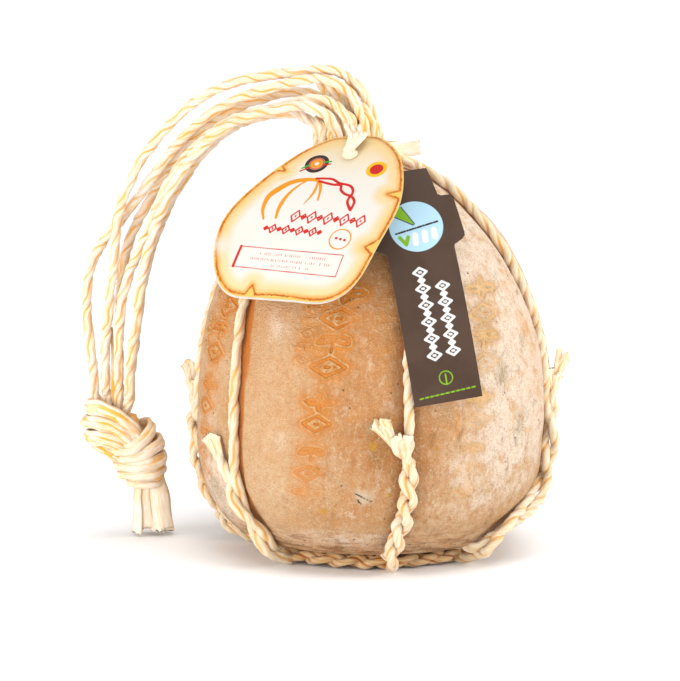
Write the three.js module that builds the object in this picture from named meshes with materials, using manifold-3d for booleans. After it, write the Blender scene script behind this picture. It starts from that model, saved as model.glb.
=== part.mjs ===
// A whole hanging cheese in its net of twisted raffia cord, standing on its flat base.
// Six cords climb the sides from a rope ring under the base, gather in a neck on the top,
// and run on as one free bundle to a knot with a cut fringe. Two card tags hang at the neck.
// Millimetres, +Z up, origin at the middle of the flat base, front towards -Y.

import * as THREE from 'three';
import { mergeVertices } from 'three/addons/utils/BufferGeometryUtils.js';
import Module from 'manifold-3d';

const wasm = await Module();
wasm.setup();

// ---- driving dimensions -------------------------------------------------------------
const gap = 0.35;                 // clearance kept between touching pieces
const cordDiameter = 5.2;         // one twisted raffia cord
const cordRadius = cordDiameter / 2;

const bellyRadius = 88.5;         // widest radius of the cheese
const bellyHeight = 75;           // height of the widest place
const cheeseHeight = 193;         // base to crown
const baseDepth = 80;             // depth of the lower curve below the belly, cut off by the base
const flatRadius = 50.8;          // flat face that the cheese stands on
const grooveDepth = 2.6;          // how far a cord bites into the cheese
const grooveWidth = 6;
const lobeDepth = 1.5;            // soft pull between neighbouring lobes
const lobeWidth = 20;

const ringRadius = 56.5;          // rope ring under the edge of the base
const ringRopeRadius = 4;
const ringHeight = 4.15;

const doubledRadius = 4.3;        // a cord with its own end twisted back round it
const neckBottom = 194.3;
const neckTop = 202.9;

const rad = THREE.MathUtils.degToRad;

// ---- materials ----------------------------------------------------------------------
function finish(colour, roughness) {
  return new THREE.MeshStandardMaterial({ color: colour, roughness, metalness: 0 });
}
const rind = () => finish(0xe3b583, 0.6);
const raffia = () => finish(0xf6e3bf, 0.75);
const parchment = () => finish(0xf5e2b8, 0.6);
const brownCard = () => finish(0x60493f, 0.7);

// ---- solids: joining and cutting ----------------------------------------------------
function welded(geometry) {
  const bare = geometry.clone();
  bare.deleteAttribute('normal');
  bare.deleteAttribute('uv');
  return mergeVertices(bare, 1e-4);
}

function toSolid(geometry) {
  const closed = welded(geometry);
  return new wasm.Manifold(new wasm.Mesh({
    numProp: 3,
    vertProperties: new Float32Array(closed.attributes.position.array),
    triVerts: new Uint32Array(closed.index.array),
  }));
}

function toGeometry(solid) {
  const mesh = solid.getMesh();
  const geometry = new THREE.BufferGeometry();
  geometry.setAttribute('position', new THREE.BufferAttribute(mesh.vertProperties, 3));
  geometry.setIndex(new THREE.BufferAttribute(mesh.triVerts, 1));
  return geometry;
}

function joined(geometries) {
  const solids = geometries.map(toSolid);
  return toGeometry(solids.slice(1).reduce((whole, next) => whole.add(next), solids[0]));
}

function named(name, geometry, material) {
  const mesh = new THREE.Mesh(geometry, material);
  mesh.name = name;
  return mesh;
}

// A round section swept along a smooth curve through the given points.
function tube(points, radius, steps, sides = 8) {
  const section = new THREE.Shape();
  for (let i = 0; i < sides; i += 1) {
    const turn = (2 * Math.PI * i) / sides;
    const corner = [radius * Math.cos(turn), radius * Math.sin(turn)];
    if (i === 0) section.moveTo(...corner);
    else section.lineTo(...corner);
  }
  section.closePath();
  const path = new THREE.CatmullRomCurve3(points, false, 'catmullrom', 0.5);
  return new THREE.ExtrudeGeometry(section, { steps, bevelEnabled: false, extrudePath: path });
}

// A ball stretched to three half-lengths, turned about Y, and set at a place.
function lump(place, halves, lean = 0) {
  const ball = new THREE.SphereGeometry(1, 12, 8);
  ball.scale(...halves);
  ball.rotateY(rad(lean));
  ball.translate(...place);
  return ball;
}

// ---- the cheese ---------------------------------------------------------------------
// Radius of the plain body of revolution: a superellipse above the belly and another below.
function bodyRadius(z) {
  if (z >= bellyHeight) {
    const up = Math.min(1, (z - bellyHeight) / (cheeseHeight - bellyHeight));
    return bellyRadius * Math.max(0, 1 - up ** 2.1) ** (1 / 2.05);
  }
  const down = (bellyHeight - z) / baseDepth;
  return bellyRadius * (1 - down ** 3.4) ** (1 / 2.3);
}

// The six cords' directions, in degrees from the front (-Y) towards +X. `mid` holds from the
// belly upwards, `top` is reached at the crown, `low` at the ring.
const sideCords = [
  { top: -60, mid: -51, low: -44, tail: 52, tailLean: -1, curl: 0, extra: 0.3 },
  { top: 20, mid: 10.5, low: 6.5, tail: 67, tailLean: -1, curl: 0, extra: 0.3 },
  { top: 66, mid: 77, low: 46, tail: 85, tailLean: 1, curl: 1, extra: 0.9 },
  { top: 130, mid: 138, low: 132, tail: 80, tailLean: 1, curl: 0, extra: 0.3 },
  { top: 205, mid: 210, low: 214, tail: 70, tailLean: -1, curl: 0, extra: 0.3 },
  { top: 258, mid: 267, low: 263, tail: 77, tailLean: -1, curl: 1, extra: 0.3 },
];

function eased(t) {
  const s = Math.min(1, Math.max(0, t));
  return s * s * (3 - 2 * s);
}

const riseStart = 95;             // a cord leaves its `mid` direction above this height
const fallStart = 44;             // and below this one, on its way to the ring
const fallSpan = 34;

function cordDirection(cord, z) {
  const rise = eased((z - riseStart) / (cheeseHeight - riseStart));
  const fall = eased((fallStart - z) / fallSpan);
  return cord.mid + (cord.top - cord.mid) * rise + (cord.low - cord.mid) * fall;
}

// Depth of the cord's bite and of the lobe's pull at a distance from the cord. It fades out
// near the base, near the crown's height, and where the body's radius runs out.
function bite(distance, z) {
  const fadeLow = eased((z - 9) / 16);
  const fadeHigh = eased((cheeseHeight - 1 - z) / 26);
  const fadeCrown = eased((bodyRadius(z) - 8) / 20);
  const groove = grooveDepth * Math.exp(-((distance / grooveWidth) ** 2));
  const pull = lobeDepth * Math.exp(-((distance / lobeWidth) ** 2));
  return fadeLow * fadeHigh * fadeCrown * (groove + pull);
}

// Profile from the middle of the base to the crown: flat face, seat over the rope ring,
// then the body's two curves.
function cheeseProfile() {
  const points = [[0, 0], [flatRadius, 0]];
  const seat = ringRopeRadius + 0.7;
  for (const turn of [195, 160, 125, 92, 62]) {
    points.push([ringRadius + seat * Math.cos(rad(turn)), ringHeight + seat * Math.sin(rad(turn))]);
  }
  const seatTop = 9.6;
  const lowSteps = 7;
  for (let i = 0; i < lowSteps; i += 1) {
    const z = seatTop + (bellyHeight - seatTop) * (1 - Math.cos((Math.PI / 2) * (i / lowSteps)));
    points.push([bodyRadius(z), z]);
  }
  const highSteps = 10;
  for (let i = 0; i <= highSteps; i += 1) {
    const z = bellyHeight + (cheeseHeight - bellyHeight) * Math.sin((Math.PI / 2) * (i / highSteps));
    points.push([i === highSteps ? 0 : bodyRadius(z), z]);
  }
  return points;
}

// Columns of the mesh follow the cords, so that each groove's bottom is a line of corners.
// `shares` are their places between one cord and the next, closer together by the grooves.
function cheeseGeometry() {
  const profile = cheeseProfile();
  const shares = [0, 0.055, 0.12, 0.27, 0.5, 0.73, 0.88, 0.945];
  const columns = sideCords.length * shares.length;
  const lathe = new THREE.LatheGeometry(profile.map(([r, z]) => new THREE.Vector2(r, z)), columns);
  const position = lathe.attributes.position;
  for (let column = 0; column <= columns; column += 1) {
    const turn = column % columns;
    const cord = Math.floor(turn / shares.length);
    const share = shares[turn % shares.length];
    for (let row = 0; row < profile.length; row += 1) {
      const [r, z] = profile[row];
      const here = cordDirection(sideCords[cord], z);
      const next = cordDirection(sideCords[(cord + 1) % sideCords.length], z)
        + (cord === sideCords.length - 1 ? 360 : 0);
      const direction = rad(here + share * (next - here));
      const aside = rad(Math.min(share, 1 - share) * (next - here)) * r;
      const reach = Math.max(0, r - bite(aside, z));
      position.setXYZ(column * profile.length + row,
        reach * Math.sin(direction), -reach * Math.cos(direction), z);
    }
  }
  return welded(lathe);
}

// ---- cords on the cheese ------------------------------------------------------------
// A place over the bottom of a cord's groove, `lift` out along the surface's normal.
function onCheese(cord, z, lift, swing = 0) {
  const radius = (height) => bodyRadius(height) - bite(0, height);
  const step = 0.5;
  const slope = (radius(z + step) - radius(z - step)) / (2 * step);
  const tilt = Math.atan(slope);
  const r = radius(z) + lift * Math.cos(tilt);
  const direction = rad(cordDirection(cord, z) + swing);
  return new THREE.Vector3(r * Math.sin(direction), -r * Math.cos(direction), z - lift * Math.sin(tilt));
}

const cordTop = 188.6;            // where a side cord meets the neck
const cordFoot = 13;              // where it meets the ring

// Single cord from the neck down to the join, doubled cord from there to the foot, and the
// cord's own end standing off beside it.
function sideCord(cord) {
  const lift = cordRadius + gap;
  const high = [];
  const rows = 15;
  const join = cord.tail - 12;
  for (let i = 0; i <= rows; i += 1) {
    const share = Math.sin((Math.PI / 2) * (i / rows));
    high.push(onCheese(cord, join + (cordTop - join) * share, lift));
  }
  const low = [];
  const lowRows = 9;
  for (let i = 0; i <= lowRows; i += 1) {
    const z = cordFoot + (cord.tail - 6 - cordFoot) * (i / lowRows);
    low.push(onCheese(cord, z, doubledRadius + gap + cord.extra));
  }
  const swing = cord.tailLean * 5.5;
  const tail = [
    onCheese(cord, cord.tail - 10, doubledRadius + gap, swing * 0.2),
    onCheese(cord, cord.tail, doubledRadius + gap + 0.6 + cord.curl, swing * 0.7),
    onCheese(cord, cord.tail + 9, doubledRadius + gap + 1.2 + cord.curl * 4, swing * 1.5),
  ];
  return joined([
    tube(high, cordRadius, 14, 7),
    tube(low, doubledRadius, 9, 8),
    tube(tail, cordRadius, 3, 7),
  ]);
}

function baseRing() {
  const ring = new THREE.TorusGeometry(ringRadius, ringRopeRadius, 8, 36);
  ring.translate(0, 0, ringHeight);
  return ring;
}

// ---- the neck, where the six cords gather on the crown ------------------------------
const neckLow = { x: -8, y: 0, halfX: 19.5, halfY: 16 };
const neckHigh = { x: -12.3, y: -2, halfX: 16.5, halfY: 13.6 };

function neckGeometry() {
  const drum = new THREE.CylinderGeometry(1, 1, neckTop - neckBottom, 20);
  drum.rotateX(Math.PI / 2);
  const position = drum.attributes.position;
  for (let i = 0; i < position.count; i += 1) {
    const end = position.getZ(i) > 0 ? neckHigh : neckLow;
    position.setXYZ(i, end.x + end.halfX * position.getX(i), end.y + end.halfY * position.getY(i),
      position.getZ(i) + (neckTop + neckBottom) / 2);
  }
  return drum;
}

// A flat raffia ribbon tied round the neck, with one cut end standing off to the right.
function neckTie() {
  const slack = 2.2;
  const band = new THREE.TorusGeometry(1, 0.07, 6, 20);
  band.scale(neckLow.halfX + slack, neckLow.halfY + slack, 17);
  band.translate(neckLow.x - 1, neckLow.y - 0.5, 197.8);
  const end = new THREE.BoxGeometry(15, 1.2, 7);
  end.rotateY(rad(-14));
  end.translate(18.4, -2, 200.6);
  return joined([band, end]);
}

// ---- the free cords: routes from the neck over the arch and down to the knot ---------
const strandRoutes = [
  [
    [1, 0, 204.5], [-0.5, 0, 216.3], [-4.1, -0.1, 225.8], [-9.6, -0.4, 233], [-16.6, -0.6, 237.7],
    [-24.1, -0.3, 239.3], [-36.7, 0.6, 238.2], [-52, 1.7, 236.4], [-65.9, 2.6, 233.8],
    [-77.6, 3.7, 229.5], [-88.2, 4.7, 223.4], [-98.3, 5.5, 214.7], [-107.7, 6.4, 204.3],
    [-116.1, 6.9, 192.7], [-122.2, 7, 181.2], [-126.6, 7.3, 169], [-128.9, 8.4, 156.5],
    [-129.9, 10.2, 142.4], [-132.1, 12.4, 127.6], [-133.9, 15.6, 112.2], [-135.4, 18.7, 96.7],
    [-135.7, 21, 82], [-135.2, 22, 72.2],
  ],
  [
    [-16, 8, 204], [-17.7, 8, 213.5], [-21.6, 7.9, 220.3], [-27.9, 7.7, 225.4],
    [-35.3, 7.3, 227.6], [-45, 7, 227.3], [-57.1, 8.1, 223.8], [-69.2, 9.1, 219.1],
    [-80.4, 11, 212.1], [-90.7, 13.2, 203.6], [-99.2, 15.9, 193.6], [-107.5, 18.4, 181.3],
    [-115.5, 20.5, 167.9], [-121.8, 21.7, 155.1], [-125.5, 22.1, 143.4], [-127.4, 22, 129.4],
    [-128.2, 22, 114.3], [-129.3, 22.8, 98.4], [-129.7, 24.5, 82.7], [-129.5, 25.8, 72.2],
  ],
  [
    [-5.5, -3, 205], [-6.5, -4.2, 216.4], [-9.7, -4.8, 224.8], [-14.8, -5, 230.6],
    [-22.1, -5, 234.3], [-30.2, -5, 235.1], [-42.7, -3.9, 232.5], [-56.7, -1.8, 228.7],
    [-69.8, 0.3, 223.6], [-81, 2.1, 217.1], [-90.8, 4.9, 208.8], [-100.5, 7.7, 198.3],
    [-109.7, 10.4, 186.2], [-118.9, 13.5, 173.1], [-127.5, 15.7, 162.4], [-135.3, 16.6, 152.8],
    [-140.9, 16.5, 142.8], [-143.7, 16.5, 131.4], [-144.3, 16.7, 118.7], [-143.5, 18.2, 104.8],
    [-142.2, 21.2, 88.6], [-141.4, 24, 73.1],
  ],
  [
    [-10.5, -11.5, 204.5], [-11.7, -11.9, 212.6], [-15.1, -11.4, 219], [-20.4, -10.4, 223.3],
    [-26.9, -9, 225.5], [-35.1, -7.6, 224.7], [-48.4, -6, 220.9], [-60.3, -5, 218.1],
    [-71, -3.3, 213.6], [-81.4, -1.5, 206.7], [-90.7, 0.2, 198.1], [-98.1, 2, 188.6],
    [-104.9, 4.4, 176.5], [-110.3, 6.2, 163.9], [-115.6, 7.5, 151.7], [-121.3, 9.2, 139.7],
    [-125.2, 11.1, 127.9], [-127.6, 12.7, 114.8], [-128.4, 15, 100.3], [-128.6, 17, 84.8],
    [-128.5, 18, 72.2],
  ],
  [
    [-16.5, -11.5, 204], [-18.4, -12.4, 211.2], [-22.6, -13.3, 217.1], [-28.7, -13.6, 220.9],
    [-36, -13.4, 222.2], [-46.6, -12.3, 220.3], [-59.5, -11.3, 217.5], [-70.1, -9.9, 213.1],
    [-79.9, -8.3, 206.2], [-88.9, -6.3, 197.1], [-96.5, -4.2, 186.5], [-103.1, -2.5, 174],
    [-108.6, -0.7, 160.6], [-112.9, 1.9, 146.6], [-116.1, 4.5, 131.8], [-118.3, 6.9, 116.5],
    [-120.7, 9.6, 101.3], [-122.6, 11.8, 87.4], [-123.4, 13.2, 71.9],
  ],
  [
    [-25, -3, 205], [-28.9, -2.1, 211.8], [-34.3, -1, 216.1], [-41.3, 0.3, 218.2],
    [-50.1, 2.3, 217.2], [-61.6, 4.3, 214.5], [-71.5, 5.9, 209.5], [-80.5, 7.5, 202.4],
    [-89.1, 9.3, 192.5], [-96.6, 10.9, 181.3], [-103.4, 11.7, 168.5], [-109.1, 12.6, 155.1],
    [-113.5, 13.4, 141.2], [-116.7, 14.2, 126.7], [-118.9, 15.4, 112.1], [-121, 17.3, 97.2],
    [-123.1, 19.4, 83.2], [-123.3, 21, 72.2],
  ],
];

function strandGeometry(route) {
  return tube(route.map((place) => new THREE.Vector3(...place)), cordRadius, 22);
}

// ---- the knot that holds the free cords together, and the fringe below it -----------
function endKnot() {
  const collar = new THREE.CylinderGeometry(1, 1.1, 16, 12);
  collar.rotateX(Math.PI / 2);
  collar.scale(12.5, 8, 1);
  collar.translate(-131.5, 19.5, 62.4);
  return joined([
    collar,
    lump([-124, 20, 48], [15.5, 13, 21.5], -28),
    lump([-119.5, 21.5, 33], [11.5, 10.5, 10.5]),
    lump([-137, 18, 60], [10.5, 9, 7], 24),
    lump([-138, 17, 51.5], [10.5, 8, 6], 24),
  ]);
}

function fringeGeometry() {
  const bottom = 0.3;
  const top = 22;
  const fringe = new THREE.CylinderGeometry(7, 8.6, top - bottom, 12, 2);
  fringe.rotateX(Math.PI / 2);
  fringe.scale(1.08, 0.72, 1);
  fringe.translate(-114.5, 24.5, (top + bottom) / 2);
  return fringe;
}

// ---- card tags ----------------------------------------------------------------------
// A card hangs from `reach` and `height` on its facing direction, starts at `tilt` degrees
// from upright and straightens by `ease` degrees for every millimetre down; `roll` turns it
// in its own plane. Returns the place at (across, down) and `out` from the card's back.
function cardPlace(card, across, down, out) {
  const face = rad(card.face);
  const roll = rad(card.roll);
  const right = new THREE.Vector3(Math.cos(face), Math.sin(face), 0);
  const front = new THREE.Vector3(Math.sin(face), -Math.cos(face), 0);
  const side = across * Math.cos(roll) + down * Math.sin(roll) + card.shift;
  const along = -across * Math.sin(roll) + down * Math.cos(roll);
  const bend = rad(card.ease);
  const start = rad(card.tilt);
  const here = start + bend * along;
  const forward = card.reach + (Math.cos(start) - Math.cos(here)) / bend + out * Math.cos(here);
  const height = card.height - (Math.sin(here) - Math.sin(start)) / bend + out * Math.sin(here);
  return right.multiplyScalar(side).addScaledVector(front, forward).setZ(height);
}

// A disc of rings is drawn out to the outline, given as a closed curve about a middle point,
// and laid on the card's bend.
function cardGeometry(card, outline, middle, thickness, around) {
  const rings = [0, 0.35, 0.7, 1];
  const profile = [
    ...rings.map((r) => new THREE.Vector2(r, thickness)),
    ...rings.slice().reverse().map((r) => new THREE.Vector2(r, 0)),
  ];
  const disc = new THREE.LatheGeometry(profile, around);
  const position = disc.attributes.position;
  const rim = Array.from({ length: around }, (_, i) => outline(i / around));
  for (let i = 0; i < position.count; i += 1) {
    const edge = rim[Math.floor(i / profile.length) % around];
    const point = profile[i % profile.length];
    const across = middle[0] + (edge[0] - middle[0]) * point.x;
    const down = middle[1] + (edge[1] - middle[1]) * point.x;
    const place = cardPlace(card, across, down, point.y);
    position.setXYZ(i, place.x, place.y, place.z);
  }
  return welded(disc);
}

const parchmentCard = { face: -26.4, reach: 36, height: 200.5, tilt: 54, ease: -0.3, roll: 0, shift: 0 };
const longCard = { face: 4, reach: 49.5, height: 193, tilt: 38, ease: -0.28, roll: 9, shift: 10 };

function roundTag() {
  const middle = [-2, 40];
  const rimPoints = [
    [-0.5, -12], [17.5, -11.5], [34, 4], [43, 30], [39.5, 56], [33, 77], [19, 86.5],
    [-6, 86], [-32, 85], [-44.5, 67], [-45, 42.5], [-27.5, 11], [-13, -6.5],
  ];
  const rim = new THREE.CatmullRomCurve3(rimPoints.map(([a, b]) => new THREE.Vector3(a, b, 0)), true);
  const outline = (share) => {
    const place = rim.getPointAt(share);
    return [place.x, place.y];
  };
  return cardGeometry(parchmentCard, outline, middle, 1.2, 34);
}

// Bottle-like outline: narrow head, square shoulders with round corners, long body.
function longTag() {
  const half = [
    [11.5, 0], [13.8, 15], [20.4, 16.5], [22.3, 37], [21.5, 39.5], [16.2, 42], [16.2, 115.5],
  ];
  const corners = [...half, ...half.slice().reverse().map(([a, b]) => [-a, b])];
  const rim = new THREE.Shape(corners.map(([a, b]) => new THREE.Vector2(a, b)));
  const thickness = 0.8;
  const flat = new THREE.ExtrudeGeometry(rim, { depth: thickness, bevelEnabled: false });
  const bent = toSolid(flat).refineToLength(16).warp((v) => {
    const place = cardPlace(longCard, v[0], v[1], thickness - v[2]);
    [v[0], v[1], v[2]] = [place.x, place.y, place.z];
  });
  return toGeometry(bent);
}

// The soft string end that ties the parchment tag: a knot on its face and a tuft up to the neck.
function tagTie() {
  const knot = cardPlace(parchmentCard, 6.5, 2.5, 4.4);
  const mid = cardPlace(parchmentCard, 7.5, -7, 4.2);
  const tuft = new THREE.Vector3(-9.2, -22.5, 212);
  return joined([
    lump([knot.x, knot.y, knot.z], [3.6, 2.8, 3.4]),
    tube([knot, mid, tuft], 2.4, 4, 8),
  ]);
}

// ---- assembly -----------------------------------------------------------------------
const wholeCheese = new THREE.Group();
wholeCheese.add(named('cheese', cheeseGeometry(), rind()));
wholeCheese.add(named('base_ring', baseRing(), raffia()));
sideCords.forEach((cord, i) => wholeCheese.add(named(`side_cord_${i + 1}`, sideCord(cord), raffia())));
wholeCheese.add(named('cord_neck', neckGeometry(), raffia()));
wholeCheese.add(named('neck_tie', neckTie(), raffia()));
strandRoutes.forEach((route, i) => {
  wholeCheese.add(named(`free_strand_${i + 1}`, strandGeometry(route), raffia()));
});
wholeCheese.add(named('end_knot', endKnot(), raffia()));
wholeCheese.add(named('fringe', fringeGeometry(), raffia()));
wholeCheese.add(named('parchment_tag', roundTag(), parchment()));
wholeCheese.add(named('long_tag', longTag(), brownCard()));
wholeCheese.add(named('tag_tie', tagTie(), raffia()));

export default wholeCheese;
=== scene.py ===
"""A whole hanging cheese in its net of twisted raffia cord, with two card tags, standing on a table."""

import math

import bpy
import numpy as np
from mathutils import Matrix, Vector


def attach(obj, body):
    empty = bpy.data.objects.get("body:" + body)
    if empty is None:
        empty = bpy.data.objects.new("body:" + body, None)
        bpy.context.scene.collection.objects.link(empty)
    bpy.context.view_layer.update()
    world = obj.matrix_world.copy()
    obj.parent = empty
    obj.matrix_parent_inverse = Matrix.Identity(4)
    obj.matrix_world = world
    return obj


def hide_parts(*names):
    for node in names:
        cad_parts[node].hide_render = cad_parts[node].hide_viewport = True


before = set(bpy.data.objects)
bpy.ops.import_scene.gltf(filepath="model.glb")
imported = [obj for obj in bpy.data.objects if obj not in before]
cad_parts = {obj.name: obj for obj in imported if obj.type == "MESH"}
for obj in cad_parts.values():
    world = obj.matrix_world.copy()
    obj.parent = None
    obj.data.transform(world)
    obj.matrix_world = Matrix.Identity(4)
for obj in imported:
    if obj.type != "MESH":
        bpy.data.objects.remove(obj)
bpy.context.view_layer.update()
MM = 0.001


# ---- The table and the view -----------------------------------------------------------------
# A plain white table top, running far back, under soft studio light. The view looks slightly
# down on the cheese from straight in front, from far enough away that the cheese looks as flat
# as it does through a long lens.
VIEW_RISE = math.radians(8.5)
VIEW_DISTANCE = 1400
VIEW_WIDTH = 340
LOOK_AT = np.array([-16.5, 0.0, 104.3])
SENSOR = 36
TABLE_REACH = 20000

camera = bpy.data.cameras.new("view")
camera.sensor_fit = "HORIZONTAL"
camera.sensor_width = SENSOR
camera.lens = SENSOR * VIEW_DISTANCE / VIEW_WIDTH
camera.clip_start = 0.05
camera.clip_end = 60
view = bpy.data.objects.new("view", camera)
bpy.context.scene.collection.objects.link(view)
back_off = np.array([0, -math.cos(VIEW_RISE), math.sin(VIEW_RISE)]) * VIEW_DISTANCE
view.location = (LOOK_AT + back_off) * MM
view.rotation_euler = (math.pi / 2 - VIEW_RISE, 0, 0)
bpy.context.scene.camera = view
bpy.context.scene.view_settings.view_transform = "Standard"


def soft_light(name, place, aim, size, power):
    """A square area light at a place in mm, turned to face the aim."""
    lamp = bpy.data.lights.new(name, "AREA")
    lamp.size = size * MM
    lamp.energy = power
    light = bpy.data.objects.new(name, lamp)
    bpy.context.scene.collection.objects.link(light)
    light.location = np.array(place) * MM
    light.rotation_euler = (Vector(aim) - Vector(place)).to_track_quat("-Z", "Y").to_euler()


BODY_MIDDLE = (0, 0, 100)
soft_light("right_light", (1000, -430, 430), BODY_MIDDLE, 520, 7.3)
soft_light("left_light", (-980, -560, 330), BODY_MIDDLE, 520, 4.2)
soft_light("arch_light", (-330, -480, 90), (-45, 0, 215), 200, 0.45)
soft_light("neck_light", (60, -620, 420), (-14, 0, 225), 90, 0.3)
soft_light("low_light", (-430, -520, 70), (-118, 20, 45), 260, 1.2)
overhead = bpy.data.lights.new("overhead", "SUN")
overhead.energy = 1.4
overhead.angle = math.radians(50)
top_light = bpy.data.objects.new("overhead", overhead)
bpy.context.scene.collection.objects.link(top_light)
top_light.rotation_euler = Vector((0.16, -0.1, 0.9)).to_track_quat("Z", "Y").to_euler()

sky = bpy.data.worlds.new("studio")
sky.use_nodes = True
sky.node_tree.nodes["Background"].inputs["Color"].default_value = (1, 1, 1, 1)
sky.node_tree.nodes["Background"].inputs["Strength"].default_value = 0.68
bpy.context.scene.world = sky

LIT = 1.56


def shade(red, green, blue, lit=LIT):
    """A colour as it looks in this light, in 0 to 255 steps, turned into the linear share of the
    light that its surface gives back. The light on the cheese is LIT times what shows as white."""
    steps = np.array([red, green, blue]) / 255
    light = np.where(steps <= 0.04045, steps / 12.92, ((steps + 0.055) / 1.055) ** 2.4) / lit
    return (*light.tolist(), 1.0)


class Value:
    """One output of a finish's nodes. Arithmetic on it adds Math nodes."""

    def __init__(self, finish, socket):
        self.finish = finish
        self.socket = socket

    def math(self, operation, *others):
        """What a Math node makes of this Value and the others."""
        return self.finish.node("ShaderNodeMath", {"operation": operation},
                                {0: self, **dict(enumerate(others, 1))})

    def __add__(self, other):
        return self.math("ADD", other)

    def __sub__(self, other):
        return self.math("SUBTRACT", other)

    def __mul__(self, other):
        return self.math("MULTIPLY", other)

    def __rsub__(self, other):
        return (self * -1).math("ADD", other)

    __radd__ = __add__
    __rmul__ = __mul__

    def size(self):
        """Its distance from zero."""
        return self.math("ABSOLUTE")

    def between(self, low, high):
        """0 at low and 1 at high, eased at both ends; low may be the larger."""
        settings = {"interpolation_type": "SMOOTHSTEP"}
        return self.finish.node("ShaderNodeMapRange", settings,
                                {"Value": self, "From Min": low, "From Max": high})


class Finish:
    """A material whose colour, roughness and relief are written as sums of Values."""

    def __init__(self, name):
        self.material = bpy.data.materials.new(name)
        self.material.use_nodes = True
        self.nodes = self.material.node_tree.nodes
        self.links = self.material.node_tree.links
        self.nodes.clear()
        self.shader = self.nodes.new("ShaderNodeBsdfPrincipled")
        out = self.nodes.new("ShaderNodeOutputMaterial")
        self.links.new(self.shader.outputs[0], out.inputs["Surface"])

    def node(self, kind, settings=None, inputs=None, output=0):
        """Adds a node: its settings first, then values or links for its sockets."""
        made = self.nodes.new(kind)
        for key, value in (settings or {}).items():
            setattr(made, key, value)
        self.feed(made, inputs or {})
        return Value(self, made.outputs[output])

    def feed(self, made, inputs):
        """Links Values to a node's sockets, and sets plain numbers and colours on them."""
        for key, value in inputs.items():
            if isinstance(value, Value):
                self.links.new(value.socket, made.inputs[key])
            else:
                made.inputs[key].default_value = value

    def place(self):
        """The spot's own coordinates, in metres."""
        return self.node("ShaderNodeTexCoord", output="Object")

    def field(self, name):
        """The number that the mesh holds for the spot under this name."""
        return self.node("ShaderNodeAttribute", {"attribute_name": name}, output="Fac")

    def stretched(self, vector, *scale):
        """The vector with each of its three parts multiplied by its own scale."""
        return self.node("ShaderNodeMapping", inputs={"Vector": vector, "Scale": scale})

    def noise(self, vector, scale, detail=3, rough=0.5, twist=0):
        """Cloudy noise about a half, in lumps one over scale wide, with detail finer layers on top."""
        return self.node("ShaderNodeTexNoise", inputs={
            "Vector": vector, "Scale": scale, "Detail": detail, "Roughness": rough, "Distortion": twist})

    def mixed(self, first, second, share):
        """The first colour where share is 0 and the second where it is 1."""
        return self.node("ShaderNodeMix", {"data_type": "RGBA"}, {0: share, 6: first, 7: second}, output=2)

    def layered(self, ground, *layers):
        """A ground colour with others laid over it in turn, each a paint and its share."""
        colour = shade(*ground)
        for paint, share in layers:
            colour = self.mixed(colour, shade(*paint), share)
        return colour

    def finished(self, colour, rough, relief=None, height=0.0, **fixed):
        """Colour and roughness go to the shader, relief to its bump; fixed values stay on it."""
        self.feed(self.shader, {"Base Color": colour, "Roughness": rough})
        if relief is not None:
            bump = self.node("ShaderNodeBump", inputs={"Height": relief, "Distance": height, "Strength": 1.0})
            self.feed(self.shader, {"Normal": bump})
        self.feed(self.shader, {key.replace("_", " "): value for key, value in fixed.items()})
        return self.material


def piece(name, points, faces, material, fields=None, uv=None, sharp=None):
    """A mesh object from points in mm and lists of corners, with one number per corner in each field."""
    mesh = bpy.data.meshes.new(name)
    mesh.from_pydata((np.asarray(points) * MM).tolist(), [], faces)
    mesh.polygons.foreach_set("use_smooth", np.full(len(mesh.polygons), True))
    if sharp:
        mesh.set_sharp_from_angle(angle=math.radians(sharp))
    for key, values in (fields or {}).items():
        mesh.attributes.new(key, "FLOAT", "POINT").data.foreach_set("value", np.ravel(values).astype(float))
    if uv is not None:
        corners = np.empty(len(mesh.loops), int)
        mesh.loops.foreach_get("vertex_index", corners)
        mesh.uv_layers.new(name="lie").data.foreach_set("uv", np.asarray(uv)[corners].ravel())
    mesh.materials.append(material)
    made = bpy.data.objects.new(name, mesh)
    bpy.context.scene.collection.objects.link(made)
    return made


table_finish = Finish("table_top")
table_colour = shade(252, 253, 254, lit=1.0)
corners = [(x * TABLE_REACH, y * TABLE_REACH, 0) for x, y in ((-1, -1), (1, -1), (1, 1), (-1, 1))]
table = piece("table", corners, [(0, 1, 2, 3)], table_finish.finished(table_colour, 0.9))


# ---- The cord: raffia ------------------------------------------------------------------------
# Dry palm-leaf fibre twisted to about 5 mm, one cord for each line of the net, in two plies on the
# cheese and three in the free strands. Each ply is a folded ribbon, pale outside, with painted amber shade
# between.
CORD_RADIUS = 2.6
GROOVE_SPACING = 13.0
# How far the middles of two or three plies stand from the cord's own, and their radius.
PLIES = {2: (0.29, 0.75), 3: (0.38, 0.66)}


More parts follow.
